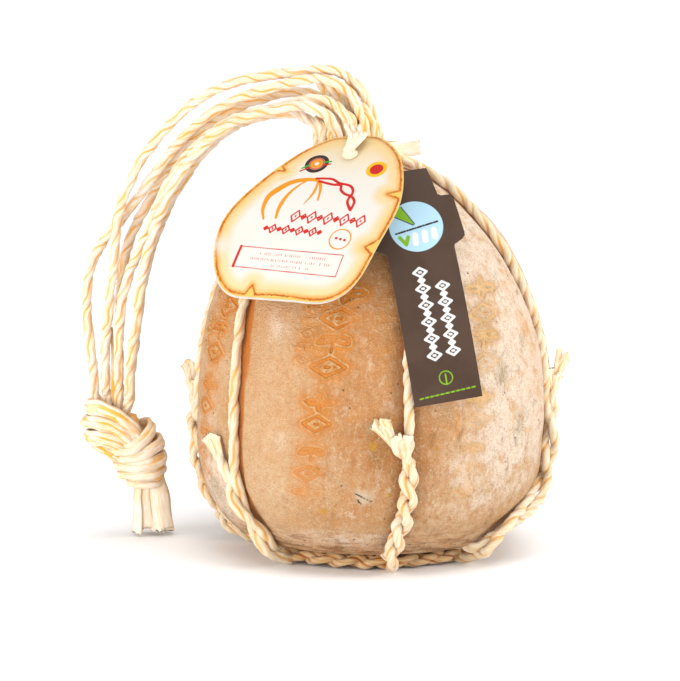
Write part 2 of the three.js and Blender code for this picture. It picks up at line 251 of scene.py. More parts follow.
def raffia(name, light, dim, golden, amber, lit, deep=1.0):
    """Dry ribbon with fine streaks along the ply, with painted warm shade, golden to amber, where the
    folds and the plies press together. deep scales how often the amber comes."""
    finish = Finish(name)
    lie = finish.node("ShaderNodeUVMap", {"uv_map": "lie"})
    streaks = finish.noise(finish.stretched(lie, 1, 0.05, 1), 2.1, 3, 0.6)
    threads = finish.noise(finish.stretched(lie, 1, 0.03, 1), 6.5, 2, 0.5)
    patches = finish.noise(finish.place(), 75, 2)
    # The golden and amber laid where gap is high are painted warm shade in the meetings of plies and folds.
    gap = finish.field("gap") + (streaks - 0.5) * 0.7
    colour = finish.layered(
        (*light, lit),
        ((*dim, lit), (streaks * 0.8 + patches * 0.6).between(0.58, 0.84)),
        ((*golden, lit), gap.between(0.0, 0.6) * (patches.between(0.3, 0.62) * 0.4 + 0.6)),
        ((*amber, lit), gap.between(0.4, 1.0) * patches.between(0.36, 0.56) * deep),
        ((*golden, lit), threads.between(0.58, 0.76) * 0.5))
    return finish.finished(colour, 0.58 - (threads - 0.5) * 0.25, streaks * 0.6 + threads * 0.5, 0.0005,
                           Sheen_Weight=0.3, Sheen_Roughness=0.5, Specular_IOR_Level=0.15)


def through(points, step=0.5):
    """A smooth curve through the points, each span a cubic whose slope at a point is half the
    step between its neighbours, cut into even steps."""
    given = np.asarray(points, float)
    ends = np.vstack([2 * given[0] - given[1], given, 2 * given[-1] - given[-2]])
    p0, p1, p2, p3 = (ends[i:len(ends) - 3 + i, None] for i in range(4))
    t = np.linspace(0, 1, 16, endpoint=False)[None, :, None]
    spans = 0.5 * (2 * p1 + (p2 - p0) * t + (2 * p0 - 5 * p1 + 4 * p2 - p3) * t ** 2
                   + (3 * p1 - p0 - 3 * p2 + p3) * t ** 3)
    return evenly(np.vstack([spans.reshape(-1, 3), given[-1:]]), step)


def run_along(path):
    """Length of the line up to each of its points."""
    return np.r_[0, np.cumsum(np.linalg.norm(np.diff(path, axis=0), axis=1))]


def evenly(path, step=0.5):
    """The same line with its points about one step apart."""
    run = run_along(path)
    at = np.linspace(0, run[-1], max(3, int(run[-1] / step) + 1))
    return np.stack([np.interp(at, run, path[:, i]) for i in range(3)], axis=1)


def unit(vectors):
    """Each vector divided by its length."""
    return vectors / np.maximum(np.linalg.norm(vectors, axis=-1, keepdims=True), 1e-9)


def carried(path):
    """Two directions square to the path that turn about it as little as they can: a fixed
    direction laid square to the path, less the sum of its turns from step to step."""
    along = unit(np.gradient(path, axis=0))
    side = unit(np.cross(along, [0.31, 0.9, 0.13]))
    other = np.cross(along, side)
    turns = np.arctan2((side[:-1] * other[1:]).sum(1), (side[:-1] * side[1:]).sum(1))
    turned = np.r_[0, np.cumsum(turns)][:, None]
    return (side * np.cos(turned) + other * np.sin(turned),
            other * np.cos(turned) - side * np.sin(turned))


def lying(path, facing):
    """Directions along a path, out of the flat side that it turns the facing way, and across."""
    along = unit(np.gradient(path, axis=0))
    face = np.broadcast_to(np.asarray(facing, float), path.shape)
    face = unit(face - (face * along).sum(1, keepdims=True) * along)
    return along, face, np.cross(along, face)


def wander(values, spread, seed):
    """A smooth random line: sines of growing pitch with seeded phases, about zero."""
    phases = np.random.default_rng(seed).uniform(0, 2 * np.pi, 4)
    waves = (np.sin(values * pitch + phase) for pitch, phase in zip((0.11, 0.27, 0.61, 1.3), phases))
    return spread * sum(waves) / 2.2


def folds(angle, run, seed):
    """Narrow valleys between the folds of a ribbon: 1 in a valley, 0 on a fold. Each set is a bell
    about the lines where a sine round the section, drifting along the run, passes zero."""
    run = 0.5 * run
    drift = wander(run, 0.8, seed)
    broad = np.exp(-(np.sin(2.5 * angle + drift + run * 0.1) / 0.36) ** 2)
    narrow = np.exp(-(np.sin(4 * angle - 1.7 * drift - run * 0.18 + seed) / 0.45) ** 2)
    broad, narrow = broad * (0.6 + wander(run, 0.5, seed + 3)), narrow * (0.35 + wander(run, 0.5, seed + 4))
    return np.clip(broad + narrow, 0, 1)


def cord_surface(path, radius, seed, spacing=GROOVE_SPACING, turn=0.0, plies=2):
    """Rows of section points. The section is the outline of round plies side by side,
    r(b) = c cos b + sqrt(p^2 - (c sin b)^2) for b from the nearest ply's middle, with the ribbon's
    folds cut in; it turns by one ply in each groove spacing, one number or one for each row.
    Returns points, the gap between the plies, and the lie."""
    sides = 30
    run = run_along(path)[:, None]
    side, other = carried(path)
    angle = (np.arange(sides) / sides * 2 * np.pi + np.pi / 2)[None]
    aside = np.abs((angle + np.pi / plies) % (2 * np.pi / plies) - np.pi / plies)
    lobes = np.cos(aside)
    offset, ply = PLIES[plies]
    reach = offset * lobes + np.sqrt(ply ** 2 - (offset * np.sin(aside)) ** 2)
    valley = folds(angle, run, seed)
    swell = 1 + wander(run, 0.06, seed + 1)
    uneven = 1 + 0.1 * np.cos(angle) * np.sin(run * 0.21 + seed)
    reach = radius * (reach * swell * uneven - 0.08 * valley * (0.3 + 0.7 * lobes))
    twist = 2 * np.pi / plies * np.cumsum(np.gradient(run[:, 0]) / spacing)[:, None]
    bearing = angle + turn + twist + wander(0.3 * run, 0.9, seed + 2)
    points = (path[:, None] + reach[..., None] * (np.cos(bearing)[..., None] * side[:, None]
                                                  + np.sin(bearing)[..., None] * other[:, None]))
    # gap marks where the plies meet and the folds' valleys; the raffia paints its warm shade there.
    gap = np.clip((aside * plies / np.pi - 0.66) / 0.3, 0, 1) + 0.55 * valley
    lie = np.stack(np.broadcast_arrays(np.arange(sides)[None] / sides * 12, run * 1.0), axis=-1)
    return points, np.broadcast_to(gap, points.shape[:2]), lie


def bundle_surface(path, wide, thick, facing, seed, sides=22, creases=1.0, cut=0.0, amber=0.0):
    """A flattened bundle of fibre: an ellipse of half-width and half-thickness with folds along
    it, carried on the path with its flat side turned the facing way. Half sizes may change along
    the path. cut pushes each corner of the last rows along the path by its own seeded amount."""
    run = run_along(path)[:, None]
    along, face, across = lying(path, facing)
    angle = (np.arange(sides) / sides * 2 * np.pi)[None]
    valley = folds(angle, run, seed) * creases
    swell = 1 + wander(0.4 * run, 0.08, seed + 5)
    half_width = np.reshape(np.broadcast_to(wide, len(path)), (-1, 1)) * swell
    half_depth = np.reshape(np.broadcast_to(thick, len(path)), (-1, 1)) * swell
    square = (np.abs(np.cos(angle)) ** 2.6 + np.abs(np.sin(angle)) ** 2.6) ** (-1 / 2.6)
    rough = square * (1 - 0.16 * valley)
    points = (path[:, None] + (half_width * np.cos(angle) * square)[..., None] * across[:, None]
              + (half_depth * np.sin(angle) * rough)[..., None] * face[:, None])
    if cut:
        jagged = np.random.default_rng(seed).uniform(-cut, cut, sides)
        near_end = eased(1 - (run[-1] - run) / (3 * cut))
        points = points + (near_end * jagged[None])[..., None] * along[:, None]
    # gap marks the folds' valleys and the narrow edges, plus amber over the whole bundle; the raffia paints
    # warm shade there.
    edge_share = np.abs(np.cos(angle)) ** 6
    gap = np.clip(0.6 * valley + 0.35 * edge_share + amber, 0, 1)
    lie = np.stack(np.broadcast_arrays(angle / (2 * np.pi) * 12, run + seed * 9.0), axis=-1)
    return points, np.broadcast_to(gap, points.shape[:2]), lie


def rounded(path, half, over=3.0):
    """Half sizes along a path that close in a quarter circle at both ends."""
    run = run_along(path)
    first, last = (np.clip(away / over, 0.02, 1) for away in (run, run[-1] - run))
    return half * np.sqrt(1 - (1 - first) ** 2) * np.sqrt(1 - (1 - last) ** 2)


def hank(path, wide, thick, facing, seed, count=3, core=0.55):
    """Ribbons laid side by side over a core painted golden as the shade between them, each wandering a
    little across and above.
    """
    _, face, across = lying(path, facing)
    run = run_along(path)
    parts = [bundle_surface(path, rounded(path, wide * 0.9), rounded(path, thick * core), face, seed,
                            amber=0.75, sides=16)]
    for index in range(count):
        share = (2 * index + 1 - count) / count
        aside = wide * 0.95 * share + wander(0.4 * run, wide * 0.14, seed + index)
        above = thick * 0.22 * (index % 2 * 2 - 1) + wander(0.4 * run, thick * 0.25, seed + 10 + index)
        line = path + across * aside[:, None] + face * above[:, None]
        parts.append(bundle_surface(line, rounded(path, wide * 1.45 / count), rounded(path, thick * 0.8),
                                    face + across * (0.5 * share), seed + 20 + index, sides=18))
    return parts


def eased(value):
    """0 below 0 and 1 above 1, and three times the square less twice the cube between them."""
    held = np.clip(value, 0, 1)
    return held * held * (3 - 2 * held)


def tube_faces(rows, sides):
    """Quads between each row and the next, facing outwards, and a many-sided cap at each end."""
    row, column = np.meshgrid(np.arange(rows - 1), np.arange(sides), indexing="ij")
    a = row * sides + column
    b = row * sides + (column + 1) % sides
    quads = np.stack([a, b, b + sides, a + sides], axis=-1).reshape(-1, 4).tolist()
    last = (rows - 1) * sides
    return quads + [list(range(sides))[::-1], list(range(last, last + sides))]


def tubes(name, surfaces, material):
    """One piece from several closed tubes, each given as points, gap and lie."""
    points, faces, gaps, lies, base = [], [], [], [], 0
    for grid, gap, lie in surfaces:
        rows, sides = grid.shape[:2]
        faces += [[corner + base for corner in face] for face in tube_faces(rows, sides)]
        points.append(grid.reshape(-1, 3))
        gaps.append(np.broadcast_to(gap, (rows, sides)).reshape(-1))
        lies.append(lie.reshape(-1, 2))
        base += rows * sides
    return piece(name, np.vstack(points), faces, material, {"gap": np.concatenate(gaps)}, np.vstack(lies))


# ---- The body's shape and the lines of the cords ---------------------------------------------
# The curd was shaped like a melon standing on its flattened lower end: a full low belly and a
# rounded crown. Each cord lies in the groove that it has pressed into the rind.
BELLY, BELLY_HEIGHT, CROWN = 88.5, 75.0, 193.0
BELLY_DROP = 80
ABOVE_POWERS, BELOW_POWERS = (2.1, 2.05), (3.4, 2.3)
RING_RADIUS, RING_HEIGHT = 56.5, 4.15
GROOVE_DEPTH, GROOVE_HALF = 2.6, 6
PULL_DEPTH, PULL_HALF = 1.5, 20
SIDE_FROM, SIDE_TO = 44, 95
# Bearings of each cord at the crown, the side and the base, the height of its cut end, the pitch
# of its twist round itself, whether a second cut end shows, which way the ends lean, how far they
# curl out, and how far the doubled part stands out further than the others'.
CORD_KEYS = ("top", "mid", "low", "tail", "pitch", "second", "lean", "curl", "extra")
SIDE_CORDS = [dict(zip(CORD_KEYS, row)) for row in (
    (-60, -51, -44, 52, 44, False, -1, 0, 0.3),
    (20, 10.5, 6.5, 67, 22, True, -1, 0, 0.3),
    (66, 77, 46, 85, 44, True, 1, 1, 0.9),
    (130, 138, 132, 80, 28, False, 1, 0, 0.3),
    (205, 210, 214, 70, 30, False, -1, 0, 0.3),
    (258, 267, 263, 77, 34, True, -1, 1, 0.3))]


def body_radius(z):
    """A superellipse above the belly, (1 - u^p)^(1/q) of its radius, and a fuller one below it."""
    up = np.clip((z - BELLY_HEIGHT) / (CROWN - BELLY_HEIGHT), 0, 1)
    down = np.clip((BELLY_HEIGHT - z) / BELLY_DROP, 0, 1)
    radius = BELLY
    for share, (p, q) in ((up, ABOVE_POWERS), (down, BELOW_POWERS)):
        radius = radius * (1 - share ** p) ** (1 / q)
    return radius


def cord_bearing(cord, z):
    """The bearing at the side, eased to the crown's above it and to the base's below it."""
    rise = eased((z - SIDE_TO) / (CROWN - SIDE_TO))
    fall = eased((SIDE_FROM - z) / (SIDE_FROM - 10))
    return cord["mid"] + (cord["top"] - cord["mid"]) * rise + (cord["low"] - cord["mid"]) * fall


def bite(distance, z):
    """Depth of a cord's groove and of the soft pull beside it, fading at the base and the crown."""
    fade = eased((z - 9) / 16) * eased((CROWN - 1 - z) / 26) * eased((body_radius(z) - 8) / 20)
    return fade * (GROOVE_DEPTH * np.exp(-(distance / GROOVE_HALF) ** 2)
                   + PULL_DEPTH * np.exp(-(distance / PULL_HALF) ** 2))


def outward(bearing):
    """The level direction at a bearing: 0 is the front, 90 the right."""
    turn = np.radians(bearing)
    return np.stack([np.sin(turn), -np.cos(turn), np.zeros_like(turn)], axis=-1)


def on_rind(cord, z, lift, swing=0.0):
    """Place over the bottom of a cord's groove, lifted along the surface's own outward direction."""
    z = np.asarray(z, float)
    below, radius, over = (body_radius(height) - bite(0, height) for height in (z - 0.5, z, z + 0.5))
    tilt = np.arctan(over - below)
    out = outward(cord_bearing(cord, z) + swing)
    place = out * (radius + lift * np.cos(tilt))[..., None]
    place[..., 2] = z - lift * np.sin(tilt)
    facing = out * np.cos(tilt)[..., None]
    facing[..., 2] = -np.sin(tilt)
    return place, facing


# ---- The net's cords, from their cut ends to the knot ----------------------------------------
# Each of the six cords is one length: its cut end stands off the side, it runs down twisted round
# itself, under the rope ring and back, up over the crown, through the neck, and on as a free
# strand to the knot. FREE_ROUTES holds the line of each free strand from the neck down.
FREE_ROUTES = [
    [[1, 0, 204.5], [-0.5, 0, 216.3], [-4.1, -0.1, 225.8], [-9.6, -0.4, 233], [-16.6, -0.6, 237.7],
     [-24.1, -0.3, 239.3], [-36.7, 0.6, 238.2], [-52, 1.7, 236.4], [-65.9, 2.6, 233.8],
     [-77.6, 3.7, 229.5], [-88.2, 4.7, 223.4], [-98.3, 5.5, 214.7], [-107.7, 6.4, 204.3],
     [-116.1, 6.9, 192.7], [-122.2, 7, 181.2], [-126.6, 7.3, 169], [-128.9, 8.4, 156.5],
     [-129.9, 10.2, 142.4], [-132.1, 12.4, 127.6], [-133.9, 15.6, 112.2], [-135.4, 18.7, 96.7],
     [-135.7, 21, 82], [-135.2, 22, 72.2]],
    [[-16, 8, 204], [-17.7, 8, 213.5], [-21.6, 7.9, 220.3], [-27.9, 7.7, 225.4], [-35.3, 7.3, 227.6],
     [-45, 7, 227.3], [-57.1, 8.1, 223.8], [-69.2, 9.1, 219.1], [-80.4, 11, 212.1],
     [-90.7, 13.2, 203.6], [-99.2, 15.9, 193.6], [-107.5, 18.4, 181.3], [-115.5, 20.5, 167.9],
     [-121.8, 21.7, 155.1], [-125.5, 22.1, 143.4], [-127.4, 22, 129.4], [-128.2, 22, 114.3],
     [-129.3, 22.8, 98.4], [-129.7, 24.5, 82.7], [-129.5, 25.8, 72.2]],
    [[-5.5, -3, 205], [-6.5, -4.2, 216.4], [-9.7, -4.8, 224.8], [-14.8, -5, 230.6], [-22.1, -5, 234.3],
     [-30.2, -5, 235.1], [-42.7, -3.9, 232.5], [-56.7, -1.8, 228.7], [-69.8, 0.3, 223.6],
     [-81, 2.1, 217.1], [-90.8, 4.9, 208.8], [-100.5, 7.7, 198.3], [-109.7, 10.4, 186.2],
     [-118.9, 13.5, 173.1], [-127.5, 15.7, 162.4], [-135.3, 16.6, 152.8], [-140.9, 16.5, 142.8],
     [-143.7, 16.5, 131.4], [-144.3, 16.7, 118.7], [-143.5, 18.2, 104.8], [-142.2, 21.2, 88.6],
     [-141.4, 24, 73.1]],
    [[-10.5, -11.5, 204.5], [-11.7, -11.9, 212.6], [-15.1, -11.4, 219], [-20.4, -10.4, 223.3],
     [-26.9, -9, 225.5], [-35.1, -7.6, 224.7], [-48.4, -6, 220.9], [-60.3, -5, 218.1],
     [-71, -3.3, 213.6], [-81.4, -1.5, 206.7], [-90.7, 0.2, 198.1], [-98.1, 2, 188.6],
     [-104.9, 4.4, 176.5], [-110.3, 6.2, 163.9], [-115.6, 7.5, 151.7], [-121.3, 9.2, 139.7],
     [-125.2, 11.1, 127.9], [-127.6, 12.7, 114.8], [-128.4, 15, 100.3], [-128.6, 17, 84.8],
     [-128.5, 18, 72.2]],
    [[-16.5, -11.5, 204], [-18.4, -12.4, 211.2], [-22.6, -13.3, 217.1], [-28.7, -13.6, 220.9],
     [-36, -13.4, 222.2], [-46.6, -12.3, 220.3], [-59.5, -11.3, 217.5], [-70.1, -9.9, 213.1],
     [-79.9, -8.3, 206.2], [-88.9, -6.3, 197.1], [-96.5, -4.2, 186.5], [-103.1, -2.5, 174],
     [-108.6, -0.7, 160.6], [-112.9, 1.9, 146.6], [-116.1, 4.5, 131.8], [-118.3, 6.9, 116.5],
     [-120.7, 9.6, 101.3], [-122.6, 11.8, 87.4], [-123.4, 13.2, 71.9]],
    [[-25, -3, 205], [-28.9, -2.1, 211.8], [-34.3, -1, 216.1], [-41.3, 0.3, 218.2],
     [-50.1, 2.3, 217.2], [-61.6, 4.3, 214.5], [-71.5, 5.9, 209.5], [-80.5, 7.5, 202.4],
     [-89.1, 9.3, 192.5], [-96.6, 10.9, 181.3], [-103.4, 11.7, 168.5], [-109.1, 12.6, 155.1],
     [-113.5, 13.4, 141.2], [-116.7, 14.2, 126.7], [-118.9, 15.4, 112.1], [-121, 17.3, 97.2],
     [-123.1, 19.4, 83.2], [-123.3, 21, 72.2]],
]
CARRIES_ON_AS = [4, 3, 0, 2, 1, 5]
SPACING_ON_RIND = [20, 10, 9.5, 11, 11, 10]
CORD_LIFT, DOUBLED_LIFT, DOUBLED_OFFSET = 2.95, 4.7, 2.35
FOOT, TOP, GATHERED = 13.0, 188.6, 196.5
# Steps of a cut end: height from the tail, lift, further lift where it curls, and sideways lean.
END_STEPS = [(11, 1.6, 4.4, 1.6), (5, 1.0, 2.4, 1.15), (-1, 0.6, 0.9, 0.7)]
END_SWING = 5.5
# The turn of a cord round the rope ring: outward, to the right and up.
RING_LOOP = [(68.0, -1.5, 9.6), (61.0, -2.4, 10.6), (54.6, -2.4, 8.2), (53.0, -0.8, 4.4), (57.0, 1.0, 2.75),
             (62.6, 2.0, 2.9), (67.2, 1.6, 5.0)]
INTO_KNOT = [(-58, 8.6, 63), (-126.5, 19.5, 53)]


def doubled(cord, z, phase):
    """One of the two lines of a cord that is twisted round itself: the groove's line plus an
    offset that turns about it once in every pitch."""
    share = 1 - eased((z - (cord["tail"] - 14)) / 16)
    lift = CORD_LIFT + (DOUBLED_LIFT + cord["extra"] - CORD_LIFT) * share
    place, facing = on_rind(cord, z, lift)
    sideways = unit(np.cross(facing, np.gradient(place, axis=0) * np.sign(z[-1] - z[0])))
    turn = (phase + 2 * np.pi * (z - FOOT) / cord["pitch"])[:, None]
    return place + DOUBLED_OFFSET * share[:, None] * (np.cos(turn) * facing + np.sin(turn) * sideways)


def whole_cord(number):
    """The path of one cord from its cut end to the knot, and where its pieces divide."""
    cord = SIDE_CORDS[number]
    tip = [on_rind(cord, [cord["tail"] + rise], 5.0 + up + cord["curl"] * more,
                   cord["lean"] * END_SWING * side)[0][0] for rise, up, more, side in END_STEPS]
    down = doubled(cord, np.linspace(cord["tail"] - 8, FOOT, 26), np.pi)
    out, right = outward(cord["low"]), outward(cord["low"] + 90)
    under = [out * r + right * s + np.array([0, 0, z]) for r, s, z in RING_LOOP]
    single_from = cord["tail"] + 4
    up = doubled(cord, np.linspace(FOOT, single_from, 30), 0.0)
    crown = on_rind(cord, np.linspace(single_from, TOP, 18)[1:], CORD_LIFT)[0]
    free = np.array(FREE_ROUTES[CARRIES_ON_AS[number]], float)
    gathered = (crown[-1] + free[0]) * [0.5, 0.5, 0] + [0, 0, GATHERED]
    inside = [free[-1] * [0.55, 0.55, 0] + INTO_KNOT[0], INTO_KNOT[1]]
    path = through(np.vstack([tip, down, under, up, crown, gathered, free, inside]), 0.6)
    ends = [int(np.argmin(np.linalg.norm(path - place, axis=1))) for place in (crown[-1], free[0], free[-1])]
    return path, ends


def cut_end(path, cord, seed):
    """Two flat fibres that carry on past a cord's cut end, spread apart and widen."""
    out = outward(cord["mid"])
    out = unit(out + [0, -1.5 * out[0] ** 2, 0])
    ahead = unit(path[-1] - path[0])
    sideways = unit(np.cross(ahead, out))
    chance = np.random.default_rng(seed + 40)
    fibres = []
    for spread, further in ((-1, 1.2), (1, -0.4)):
        apart = np.linspace(0.3, 2.1, len(path))[:, None]
        line = path + sideways * spread * apart + out * (0.3 + 0.25 * spread)
        tip = line[-1] + ahead * (1.4 + further) + sideways * spread * 0.9 + out * 0.4
        line = through(np.vstack([line[::6], tip]), 0.4)
        tilt = out + sideways * chance.uniform(-0.5, 0.5)
        widths, depths = (np.linspace(first, last, len(line)) for first, last in ((1.1, 2.9), (1.0, 0.35)))
        fibres.append(bundle_surface(line, widths, depths, tilt, seed * 5 + 2 + spread, sides=26,
                                     creases=1.5, cut=0.7))
    return fibres


def stretch(surface, first, last):
    """The rows of a cord's surface from one to another."""
    return tuple(part[first:last] for part in surface)


raffia_net = raffia("raffia_net", (250, 234, 206), (247, 220, 180), (245, 202, 142), (238, 168, 80),
                    1.22, 0.7)
raffia_free = raffia("raffia_free", (254, 240, 222), (251, 224, 190), (249, 204, 142), (248, 174, 66),
                     1.17, 0.9)
neck_parts, knot_parts, strands = [], [], []
for number, cord in enumerate(SIDE_CORDS):
    path, (to_crown, to_free, to_knot) = whole_cord(number)
    run = run_along(path)[:, None]
    seed = number * 7 + 3
    spacing = np.interp(np.arange(len(path)), [to_crown, to_free, (to_free + to_knot) / 2, to_knot],
                        [SPACING_ON_RIND[number], 10, 12 + number % 3, 13])
    on_net = cord_surface(path, CORD_RADIUS * (0.7 + 0.3 * eased((run - 4) / 7)), seed, spacing)
    surfaces = [stretch(on_net, 0, to_crown), *cut_end(path[24::-1], cord, number)]
    if cord["second"]:
        stub = through([on_rind(cord, [cord["tail"] - 14 + rise], 4.6 + up, cord["lean"] * swing)[0][0]
                        for rise, up, swing in ((0, 0, 0), (6, 1.2, 0.4), (12, 1.6, 1.4), (18, 2.6, 2.4))])
        surfaces += [cord_surface(stub, 2.0, number + 60), *cut_end(stub[-16:], cord, number + 8)]
    side = tubes(f"net_cord_{number + 1}", surfaces, raffia_net)
    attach(side, "root")
    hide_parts(f"side_cord_{number + 1}")
    free = cord_surface(path, CORD_RADIUS, seed, spacing, plies=3)
    neck_parts.append(stretch(free, to_crown - 1, to_free + 1))
    knot_parts.append(stretch(free, to_knot - 1, None))
    strand_number = CARRIES_ON_AS[number] + 1
    strand = tubes(f"strand_{strand_number}", [stretch(free, to_free, to_knot)], raffia_free)
    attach(strand, "root")
    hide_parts(f"free_strand_{strand_number}")
    strands.append((strand, path[to_free:to_knot] * MM))

# Short cords that rise between the strands: where each one stands and how high it goes.
NECK_CORDS = [(-27.5, 1, 215), (-24.5, -4, 216), (-22, 0, 226), (-20, -6, 219), (-17, 0.5, 236),
              (-15.5, -8, 220), (-13, -1, 237), (-12.5, -9, 224), (-9, -1, 236), (-8.8, -9.5, 221),
              (-6, -2, 231), (-4, -8, 225), (-1, -2, 226), (0.5, -5.5, 220), (3, -3.5, 216),
              (-24, 7.5, 216), (-19.5, 9, 219), (-14.5, 9.5, 223), (-9.5, 9, 224), (-4.5, 8, 222),
              (-0.5, 4, 219)]
chance = np.random.default_rng(5)
for index, (x, y, top) in enumerate(NECK_CORDS):
    lean = 3.5 + 0.38 * (top - 213)
    path = through([(x, y, 196), (x - 0.3, y - 0.6, 204), (x - 0.2 * lean, y, (206 + top) / 2),
                    (x - lean, y + 1.5, top)])
    run = run_along(path)[:, None]
    taper = 2.5 * (0.2 + 0.8 * eased((run[-1] - run) / 7))
    points, gap, lie = cord_surface(path, taper, 120 + index, turn=chance.uniform(0, 6), plies=3)
    # The short cords stand deep in the neck's shade: their gap is raised so more of them is golden, a painted
    # shade.
    neck_parts.append((points, np.clip(gap + 0.1, 0, 1), lie))
# A broad flat sheet behind the front cords, golden with amber: painted shade filling the hollow of the neck.
path = through([(-12, 1.5, 197), (-13, 2.0, 210), (-16, 3.5, 222), (-20, 4.5, 230)])
half_width = rounded(path, 12) * np.linspace(1, 0.7, len(path))
neck_parts.append(bundle_surface(path, half_width, rounded(path, 2), (0, -1, 0.1), seed=118, creases=1.6,
                                 amber=0.5))
# A lighter copy of the raffia for the neck: its colours are raised against the shade deep in the neck, a
# painted light.
raffia_neck_lightened = raffia("raffia_neck_lightened", (254, 242, 226), (253, 228, 192), (252, 208, 128), (250, 184, 60), 1.08)
neck = tubes("neck_cords", neck_parts, raffia_neck_lightened)
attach(neck, "root")
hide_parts("cord_neck")


# ---- The knot and the fringe ------------------------------------------------------------------
# The six free strands are tied together in one overhand knot. Its bights stand out as three thick
# lobes to the left, the turns below them run round the others, and the flat cut ends hang out at
# the bottom, where the twist has come out of the fibre.
KNOT_MIDDLE = np.array([-124.0, 20.0, 48.0])
# Each lobe: its line, half-width and half-thickness.
LOBES = [
    ([[-120, 29, 55], [-129, 30, 61], [-138, 27.5, 66], [-143.5, 21.5, 67.5], [-142.5, 14.5, 67.5],
      [-137, 10, 67.8], [-130.5, 8, 65.3], [-124, 8, 60.5], [-119.5, 10.5, 54], [-118, 14, 50]], 3.9, 3.3),
    ([[-121, 30, 49], [-130, 30.5, 54], [-139.5, 27.5, 58.5], [-145.2, 21.5, 60], [-144.3, 14.5, 60.3],
      [-139.5, 9.8, 60.3], [-132, 7.5, 58.8], [-126.3, 7.5, 55], [-122.5, 9.8, 50.5],
      [-120, 13.5, 46]], 3.7, 3.2),
    ([[-123, 30, 43], [-131, 30, 47], [-139, 27.5, 51], [-144, 22, 52.3], [-143.3, 15, 52.3],
      [-139, 10.5, 53], [-133, 8.4, 51.6], [-127.5, 9, 49], [-123, 12.5, 46]], 3.9, 3.2),
    ([[-143, 20, 48.6], [-137.5, 12.5, 46.6], [-130.5, 10.8, 43.4], [-124, 13, 40]], 2.6, 2.0),
]
TURNS = [
    [[-136, 16, 47], [-128.5, 9, 47], [-121, 7, 48.5], [-115.5, 9.5, 52.5], [-112, 16, 57],
     [-115, 25, 58], [-123, 31.5, 55], [-132, 31, 50], [-137.5, 23.5, 47.3]],
    [[-132.5, 15, 43.4], [-123.5, 8.5, 43.6], [-115.5, 8.5, 45.4], [-108.6, 14, 48.5], [-108.4, 23, 50],
     [-115, 31.5, 49], [-125, 32, 46], [-132.8, 25, 44]],
    [[-130, 16, 39], [-121.5, 9.5, 38.8], [-112.5, 9.5, 40], [-106.8, 16, 41.6], [-107, 25, 42],
     [-114, 31.5, 41], [-124, 31.3, 39.5], [-130.5, 24, 39]],
    [[-127.5, 17, 34], [-120.5, 11.5, 34], [-112, 11.5, 34.8], [-107, 18, 35.6], [-108, 27, 36],
     [-116, 31, 35.5], [-124, 29.5, 34.5], [-128, 23, 34]],
    [[-123.6, 20, 29], [-116.5, 15.6, 29], [-109.6, 18, 29.4], [-108.8, 24, 29.8], [-113, 29.2, 29.5],
     [-120.5, 28.5, 29.2], [-124, 24, 29]],
]
# The knot and fringe get a lighter copy of the raffia: painted light against the shade they lie in.
raffia_knot_lightened = raffia("raffia_knot_lightened", (254, 240, 222), (252, 224, 188), (251, 204, 134), (249, 178, 62), 1.14)
for index, (places, half_width, half_depth) in enumerate(LOBES):
    path = through(places)
    knot_parts += hank(path, half_width * 0.82, half_depth * 0.9, (path - KNOT_MIDDLE) * [1, 1, 0],
                       seed=240 + 9 * index, core=0.85)
for index, places in enumerate(TURNS):
    path = through(places + places[:2])
    tilt = (path - KNOT_MIDDLE - [3 + index, 0, 0]) * [1, 1, 0]
    knot_parts += hank(path, 2.7, 1.7, tilt, seed=300 + 9 * index, count=2)
# A thin amber strip between two strands above the knot: painted shade standing for the shaded inner side of
# their fibres.
between = through([(-132.2, 20.5, 108), (-131.4, 21, 90), (-130.4, 21, 69)])
knot_parts.append(bundle_surface(between, np.linspace(0.5, 2.4, len(between)), 1.3, (0, -1, 0), seed=61,
                                 amber=1.0))
# The knot's inner core, golden: painted shade where it shows deep between the turns.
core = through([[-129, 19.5, 62], [-124, 20, 50], [-118, 20.5, 38], [-114, 23, 27]])
knot_parts.append(bundle_surface(core, rounded(core, 8.6), rounded(core, 6.8), (0, -1, 0), seed=60,
                                 amber=0.5))
knot = tubes("knot", knot_parts, raffia_knot_lightened)
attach(knot, "root")
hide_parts("end_knot")

# Each row of cut ends: how many, how far back it hangs, its half-width, and the way it faces.
FRINGE_ROWS = [(4, 19.6, 2.9, -1), (4, 23.4, 2.9, -1), (5, 28.8, 2.6, 1)]
FRINGE_BACK = 24.2
fringe_parts = []
chance = np.random.default_rng(11)
for count, back, width, face in FRINGE_ROWS:
    for index in range(count):
        share = (2 * index + 1 - count) / count
        low = 1.5 + 4.0 * chance.random()
        lean = chance.uniform(-0.5, 0.5, 4)
        path = through([(-113.8 + 6.6 * share, FRINGE_BACK + (back - FRINGE_BACK) * 0.75, 30),
                        (-113.4 + 8.6 * share + lean[0], back, 21),
                        (-112.9 + 9.4 * share + lean[1], back, 11),
                        (-112.6 + 9.9 * share + lean[2], back + lean[3], low)])
        widths = np.linspace(width * 0.75, width * 1.15, len(path))
        fringe_parts.append(bundle_surface(path, widths, 0.75, (lean[3] + 0.6 * share, face, 0),
                                           seed=70 + 6 * count + index, sides=24, creases=0.5, cut=0.9))
# An amber bundle behind the cut ends: painted shade showing in the gaps between them.
middle = through([(-114, 23.8, 28), (-113.4, 24.3, 15), (-113, 24.5, 7)])
fringe_parts.append(bundle_surface(middle, 7.4, 2.6, (0, -1, 0), seed=95, amber=0.8, cut=0.8))
fringe = tubes("knot_fringe", fringe_parts, raffia_knot_lightened)
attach(fringe, "root")
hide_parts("fringe")


